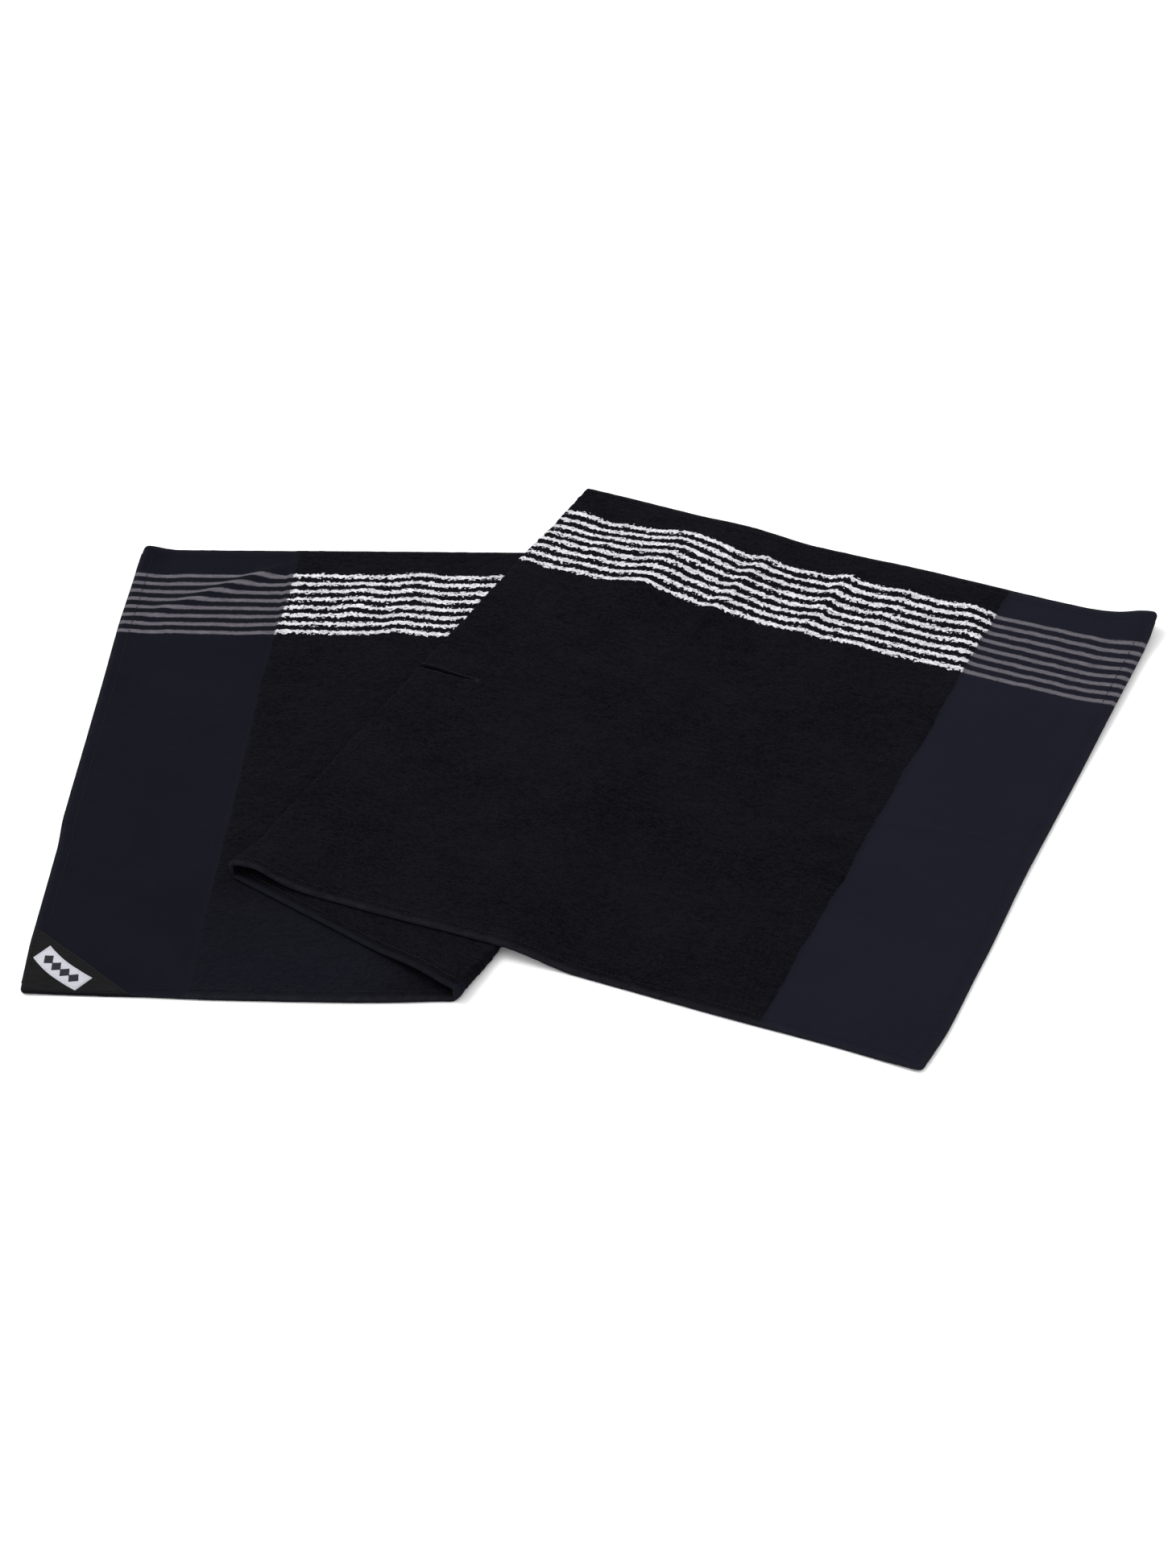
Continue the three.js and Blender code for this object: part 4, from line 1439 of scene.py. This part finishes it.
# %% The twisted thread group
def make_twist_group():
    tree, given = new_group("twisted thread", [("Strand", VECTOR, None), ("Twist length", NUMBER, 0.0012)],
                            ("Height", "Shade"))
    along, around, number = put(tree, "ShaderNodeSeparateXYZ", {0: given["Strand"]}).outputs
    turn = plus(tree, calc(tree, "DIVIDE", along, given["Twist length"]), around)
    plies = calc(tree, "SINE", times(tree, turn, 4 * math.pi))
    height = plus(tree, times(tree, plies, 0.5), 0.5)
    own = put(tree, "ShaderNodeTexWhiteNoise", {"W": number}, noise_dimensions="1D").outputs["Value"]
    close_group(tree, Height=height, Shade=own)
    return tree


twisted_thread = make_twist_group()
print(len(bpy.data.node_groups), "node groups made")

# %% [markdown]
# ## The towel cloth
# One material covers the whole cloth, face and reverse. It reads the cloth coordinates to know where it
# is: looped or flat, striped or plain. The looped part is almost black, because light gets lost between
# the loops; the flat ends are a shade lighter and bluer. Cotton has no gloss, so the shader is rough,
# with only a trace of sheen. The hems have a material of their own, built from the same flat weave.

# %% Towel cloth and turned hems
LOOP_BLACK = (0.0013, 0.0013, 0.0024, 1)
LOOP_GREY = (0.0062, 0.0060, 0.0088, 1)
FLAT_NAVY = (0.0039, 0.0043, 0.0074, 1)
FLAT_PALE = (0.0078, 0.0079, 0.0142, 1)
LOOP_WHITE = (0.75, 0.75, 0.77, 1)
LOOP_WHITE_SHADOW = (0.36, 0.36, 0.39, 1)
STRIPE_GREY = (0.118, 0.112, 0.127, 1)
STRIPE_GREY_SHADOW = (0.070, 0.066, 0.077, 1)
# Paler colour of the border band: rubbed wear and a painted highlight where rolled edges catch the light.
EDGE_WEAR_AND_HIGHLIGHT = (0.0165, 0.0165, 0.0205, 1)
LEAN = 5.5 * MM
BORDER_STEP = 2.4 * MM
BORDER_WAVE = 9 * MM
LOOP_RELIEF = 1.1 * MM
WEAVE_RELIEF = 0.22 * MM
FLAT_PITCH = 0.75 * MM
GREY_HALF, GREY_WANDER, GREY_SOFT = 1.97 * MM, 0.3 * MM, 0.8 * MM
WHITE_WANDER, WHITE_SOFT = 1.7 * MM, 0.25 * MM
# Width of the border band of rubbed wear and painted highlight.
WEAR_AND_HIGHLIGHT_WIDTH = 5.5 * MM
TOWEL_SPECULAR = 0.02
TOWEL_SHEEN = 0.006


def new_shader(name, roughness, specular, sheen=0.0):
    material = bpy.data.materials.new(name)
    material.use_nodes = True
    shader = material.node_tree.nodes["Principled BSDF"]
    shader.inputs["Roughness"].default_value = roughness
    shader.inputs["Specular IOR Level"].default_value = specular
    shader.inputs["Sheen Weight"].default_value = sheen
    shader.inputs["Sheen Roughness"].default_value = 0.6
    return material, material.node_tree, shader


def wire(tree, value, shader, socket):
    tree.links.new(value, shader.inputs[socket])


def raise_surface(tree, shader, height, distance):
    """Feeds a height to the shader's normal, distance being the relief in metres."""
    lifted = put(tree, "ShaderNodeBump", {"Height": height, "Distance": distance, "Strength": 1.0})
    wire(tree, lifted.outputs["Normal"], shader, "Normal")


def flat_cloth(tree, cloth, wear):
    """Colour, height and shade of the flat weave: its stripes, a navy that is paler towards the open end,
    and a border band of rubbed wear and painted highlight.
    """
    s = put(tree, "ShaderNodeSeparateXYZ", {0: cloth}).outputs[0]
    weave = place(tree, plain_weave, Cloth=cloth, Warp_pitch=FLAT_PITCH, Weft_pitch=FLAT_PITCH)
    clean = place(tree, stripes, Cloth=cloth, Half_width=GREY_HALF, Wander=GREY_WANDER,
                  Softness=GREY_SOFT)["Mask"]
    # The flat weave is paler towards the open end than at the patched one.
    by_end = ease(tree, s, LENGTH * 0.3, LENGTH * 0.8, 0.08, 0.78)
    toward_pale = plus(tree, by_end, times(tree, wear["Drift"], 0.22))
    dark = blend_colors(tree, toward_pale, FLAT_NAVY, FLAT_PALE)
    # Border band of rubbed wear and painted highlight.
    dark = blend_colors(tree, times(tree, wear["Rub"], 0.45), dark, EDGE_WEAR_AND_HIGHLIGHT)
    grey = blend_colors(tree, weave["Shade"], STRIPE_GREY_SHADOW, STRIPE_GREY)
    return blend_colors(tree, clean, dark, grey), times(tree, weave["Height"], WEAVE_RELIEF), weave["Shade"]


def looped_cloth(tree, cloth, wear):
    """Colour and height of the terry and its white loops."""
    s, t = put(tree, "ShaderNodeSeparateXYZ", {0: cloth}).outputs[:2]
    pile_of = place(tree, loop_pile, Cloth=cloth, Loop_length=2.1 * MM, Loop_width=1.5 * MM)
    ragged = place(tree, stripes, Cloth=cloth, Half_width=STRIPE_HALF, Wander=WHITE_WANDER,
                   Softness=WHITE_SOFT)["Mask"]
    # Painted shade: the pile's Shade darkens the gaps between loops and adds a broad uneven tone.
    dark = blend_colors(tree, times(tree, pile_of["Shade"], 0.8), LOOP_BLACK, LOOP_GREY)
    dark = blend_colors(tree, times(tree, wear["Drift"], 0.3), dark, LOOP_GREY)
    # By the patch, where a hand takes hold, the loops are washed out towards the tone of the flat end.
    near = ease(tree, t, 20 * MM, 170 * MM, 0.38, 0.0)
    held = times(tree, near, ease(tree, s, 230 * MM, 330 * MM, 1.0, 0.0))
    dark = blend_colors(tree, held, dark, FLAT_PALE)
    # Border band of rubbed wear and painted highlight.
    dark = blend_colors(tree, times(tree, wear["Rub"], 0.8), dark, EDGE_WEAR_AND_HIGHLIGHT)
    white = blend_colors(tree, pile_of["Shade"], LOOP_WHITE_SHADOW, LOOP_WHITE)
    return blend_colors(tree, ragged, dark, white), times(tree, pile_of["Height"], LOOP_RELIEF)


def loops_here(tree, cloth):
    """1 where the cloth is looped: between the flat ends, with a border that steps from row to row."""
    s, t, side = put(tree, "ShaderNodeSeparateXYZ", {0: cloth}).outputs
    step = times(tree, minus(tree, cells(tree, cloth, 4 * MM, 2 * MM), 0.5), BORDER_STEP)
    wave = times(tree, minus(tree, cells(tree, cloth, 200 * MM, 60 * MM), 0.5), BORDER_WAVE)
    lean = ease(tree, t, FIRST_STRIPE - (STRIPES + 1) * STRIPE_PITCH, FIRST_STRIPE, 0.0, LEAN)
    from_start = minus(tree, minus(tree, s, LOOPS_FROM), lean)
    inside = calc(tree, "MINIMUM", from_start, minus(tree, LOOPS_TO, s))
    inside = plus(tree, inside, plus(tree, step, wave))
    # On the reverse the turned hem runs on over the folds.
    turned = times(tree, ease(tree, to_edge(tree, t, WIDTH), SIDE_HEM - 1 * MM, SIDE_HEM, 1.0, 0.0), side)
    return times(tree, ease(tree, inside, -0.8 * MM, 0.8 * MM), minus(tree, 1.0, turned))


def make_towel_cloth():
    material, tree, shader = new_shader("towel cloth", 1.0, TOWEL_SPECULAR, TOWEL_SHEEN)
    cloth = cloth_coordinates(tree)
    wear = place(tree, wear_and_edge_highlight, Cloth=cloth, Rub_width=WEAR_AND_HIGHLIGHT_WIDTH)
    flat_color, flat_height = flat_cloth(tree, cloth, wear)[:2]
    loop_color, loop_height = looped_cloth(tree, cloth, wear)
    looped = loops_here(tree, cloth)
    wire(tree, blend_colors(tree, looped, flat_color, loop_color), shader, "Base Color")
    heights = {0: looped, 2: flat_height, 3: loop_height}
    raise_surface(tree, shader, put(tree, "ShaderNodeMix", heights, data_type="FLOAT").outputs[0], 1.0)
    wire(tree, plus(tree, times(tree, looped, 0.12), 0.86), shader, "Roughness")
    return material


def make_hem_cloth():
    """The hems' flat weave: its rolled rim is painted lighter as a highlight, and further in it is as dark
    as the loops.
    """
    material, tree, shader = new_shader("turned hem cloth", 1.0, TOWEL_SPECULAR, TOWEL_SHEEN)
    cloth = cloth_coordinates(tree)
    s, t = put(tree, "ShaderNodeSeparateXYZ", {0: cloth}).outputs[:2]
    wear = place(tree, wear_and_edge_highlight, Cloth=cloth, Rub_width=WEAR_AND_HIGHLIGHT_WIDTH)
    color, height, shade = flat_cloth(tree, cloth, wear)
    # Painted highlight: the rolled rim of a side hem, within about 4 mm of the edge, takes the lighter flat
    # colour; the end hems are flat weave.
    rim = ease(tree, to_edge(tree, t, WIDTH), 2.6 * MM, 4.6 * MM, 1.0, 0.0)
    dark_hem = blend_colors(tree, times(tree, shade, 0.6), LOOP_BLACK, LOOP_GREY)
    end_hem = ease(tree, to_edge(tree, s, LENGTH), END_HEM, END_HEM + MM, 1.0, 0.0)
    flat_end_and_rim_highlight = calc(tree, "MAXIMUM", times(tree, rim, 0.65), end_hem)
    wire(tree, blend_colors(tree, flat_end_and_rim_highlight, dark_hem, color), shader, "Base Color")
    raise_surface(tree, shader, height, 1.0)
    return material


towel_cloth = make_towel_cloth()
hem_cloth = make_hem_cloth()

# %% [markdown]
# ## Thread, webbing and badge
# The threads share the twist group, each with its own colour. The webbing is a coarse plain weave with
# ribs. The badge is a fine, pale one.

# %% Threads
PLY_RELIEF = 0.06 * MM


def thread_material(name, dark, light, twist, specular):
    material, tree, shader = new_shader(name, 0.6, specular, 0.03)
    strand = put(tree, "ShaderNodeAttribute", attribute_name="strand").outputs["Vector"]
    plies = place(tree, twisted_thread, Strand=strand, Twist_length=twist)
    # Painted shade: the grooves between the plies are darker and the crests lighter; Shade adds each
    # thread's own tone.
    depth = plus(tree, times(tree, plies["Height"], 0.7), times(tree, plies["Shade"], 0.3))
    wire(tree, blend_colors(tree, depth, dark, light), shader, "Base Color")
    wire(tree, ease(tree, plies["Height"], 0.0, 1.0, 0.75, 0.5), shader, "Roughness")
    raise_surface(tree, shader, plies["Height"], PLY_RELIEF)
    return material


seam_thread = thread_material("seam thread", (0.0035, 0.0035, 0.0055, 1), (0.0095, 0.0095, 0.0145, 1),
                              1.3 * MM, 0.05)
binding_thread = thread_material("binding thread", (0.0026, 0.0026, 0.004, 1), (0.0085, 0.0085, 0.012, 1),
                                 1.6 * MM, 0.06)
pale_thread = thread_material("pale thread", (0.42, 0.42, 0.48, 1), (0.70, 0.70, 0.76, 1), 1.0 * MM, 0.2)
dark_floss = thread_material("dark floss", (0.008, 0.008, 0.014, 1), (0.022, 0.022, 0.036, 1), 1.0 * MM, 0.2)


# %% Webbing and badge weave
def woven_material(name, dark, light, warp, weft, relief, roughness, specular, ribs=0.0):
    """A woven material; ribs is the pitch of the ribs across the webbing, or 0 for none."""
    material, tree, shader = new_shader(name, roughness, specular, 0.02)
    cloth = cloth_coordinates(tree)
    weave = place(tree, plain_weave, Cloth=cloth, Warp_pitch=warp, Weft_pitch=weft)
    wear = place(tree, wear_and_edge_highlight, Cloth=cloth, Rub_width=5 * MM)
    height = weave["Height"]
    if ribs:
        s, t = put(tree, "ShaderNodeSeparateXYZ", {0: cloth}).outputs[:2]
        rib = calc(tree, "SINE", times(tree, plus(tree, s, t), 2 * math.pi / ribs))
        height = plus(tree, times(tree, height, 0.5), times(tree, rib, 0.35))
    shade = plus(tree, times(tree, weave["Shade"], 0.6), times(tree, wear["Drift"], 0.4))
    color = blend_colors(tree, shade, dark, light)
    # The border band, rubbed wear and painted highlight, blends towards the light colour.
    wire(tree, blend_colors(tree, times(tree, wear["Rub"], 0.4), color, light), shader, "Base Color")
    wire(tree, ease(tree, weave["Shade"], 0.0, 1.0, roughness + 0.1, roughness - 0.1), shader, "Roughness")
    raise_surface(tree, shader, height, relief)
    return material


webbing = woven_material("patch webbing", (0.0036, 0.0035, 0.0040, 1), (0.0066, 0.0065, 0.0074, 1),
                         0.9 * MM, 0.9 * MM, 0.2 * MM, 0.8, 0.04, ribs=1.7 * MM)
badge_weave = woven_material("badge weave", (0.36, 0.36, 0.40, 1), (0.49, 0.49, 0.54, 1),
                             0.45 * MM, 0.35 * MM, 0.07 * MM, 0.7, 0.2)
print(len(bpy.data.materials), "materials made")

# %% [markdown]
# ## Putting it together
# Each piece now takes its finish. The pieces of a layer ride on the body of that layer, and most stand in
# for a plain node of the model, which is hidden. The fold strips stand in for their nodes too, but ride on
# no body: like the bindings on the left fold, they keep their place, baked into the mesh.

# %% Finish, body and node of every piece
def fit(piece, material, body=None, node=None):
    piece.data.materials.append(material)
    if body:
        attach(piece, body)
    if node:
        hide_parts(*node)


def across_fold(piece, fold):
    """Bakes the placement of a fold piece into its mesh. It also finds where the lower layer meets the
    crease at the slit and at the far edge, but these points are not used.
    """
    crease, lower, upper = FOLDS[fold][:3]
    ends = np.array((SLIT_T, WIDTH))
    near, far = plan(lower, on_crease(crease, ends), ends)
    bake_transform(piece)


fit(bottom_cloth, towel_cloth, "bottom_layer", ("bottom_terry", "bottom_flat_weave"))
fit(middle_cloth, towel_cloth, "middle_layer", ("middle_terry",))
fit(top_cloth, towel_cloth, "top_layer", ("top_terry", "top_flat_weave"))
for node_name, (layer, edge) in HEMS.items():
    fit(hems[node_name], hem_cloth, layer + "_layer", (node_name,))
    stitching = node_name + "_stitching"
    fit(seams[stitching], seam_thread, layer + "_layer", (stitching,))
fit(middle_binding, binding_thread, "middle_layer", ("middle_slit_edging",))
fit(top_binding, binding_thread, "top_layer", ("top_slit_edging",))
fit(corner_patch, webbing, "bottom_layer", ("corner_patch",))
fit(patch_thread, seam_thread, "bottom_layer", ("corner_patch_stitching",))
fit(corner_badge, badge_weave, "bottom_layer", ("corner_badge",))
fit(badge_thread, pale_thread, "bottom_layer")
fit(badge_motif, dark_floss, "bottom_layer")
fit(finishing_knot, seam_thread, "middle_layer")

fit(right_fold_cloth, towel_cloth, node=("right_fold",))
across_fold(right_fold_cloth, "right")
fit(left_fold_cloth_near, towel_cloth, node=("left_fold_near",))
fit(left_fold_cloth_far, towel_cloth, node=("left_fold_far",))
for binding in fold_bindings:
    fit(binding, binding_thread)
for piece in [left_fold_cloth_near] + fold_bindings:
    across_fold(piece, "left")
across_fold(left_fold_cloth_far, "left")

# %% [markdown]
# ## The cut of the cloth
# The towel is cut as one rectangle, 508 by 1118 mm. Folding turns it into three sheets that meet at the
# creases, which run at a slant.


# %% [markdown]
# ## Floor and light
# A studio for dark cloth needs two things: an even white surround, which keeps the black from going dead,
# and one large soft lamp, high on the left behind the towel, whose slanting light shows up the loops. The
# floor is plain and almost white.

# %% Stage
FLOOR_SIZE = 12
FLOOR_Z = -0.0002
FLOOR_WHITE = (0.95, 0.95, 0.95, 1)
FLOOR_WHITER = (0.97, 0.97, 0.97, 1)
WORLD_LIGHT = 1.1
LAMP_POWER = 320
LAMP_SIZE = 4.2
LAMP_AT = Vector((-4.2, 2.6, 5.6))


def make_stage():
    bpy.ops.mesh.primitive_plane_add(size=FLOOR_SIZE, location=(0, 0, FLOOR_Z))
    floor = bpy.context.object
    floor.name = "floor"
    material, tree, shader = new_shader("white table", 1.0, 0.0)
    place_on = put(tree, "ShaderNodeTexCoord").outputs["Object"]
    grain = put(tree, "ShaderNodeTexNoise", {"Vector": place_on, "Scale": 3.0}).outputs[0]
    wire(tree, blend_colors(tree, grain, FLOOR_WHITE, FLOOR_WHITER), shader, "Base Color")
    floor.data.materials.append(material)
    world = bpy.data.worlds.new("studio")
    world.use_nodes = True
    world.node_tree.nodes["Background"].inputs["Color"].default_value = (1, 1, 1, 1)
    world.node_tree.nodes["Background"].inputs["Strength"].default_value = WORLD_LIGHT
    bpy.context.scene.world = world
    data = bpy.data.lights.new("soft lamp", "AREA")
    data.energy = LAMP_POWER
    data.size = LAMP_SIZE
    lamp = bpy.data.objects.new("soft lamp", data)
    lamp.location = LAMP_AT
    lamp.rotation_euler = (-LAMP_AT).to_track_quat("-Z", "Y").to_euler()
    bpy.context.scene.collection.objects.link(lamp)
    bpy.context.scene.view_settings.view_transform = "Standard"


make_stage()

# %% [markdown]
# ## A box in round numbers
# The dressed towel must be as large as its model, apart from a little loft of the cloth. A small helper
# turns a box's two corners into rows of rounded numbers.

# %% Finish
def rows(box):
    return [[round(float(v), 6) for v in end] for end in box]
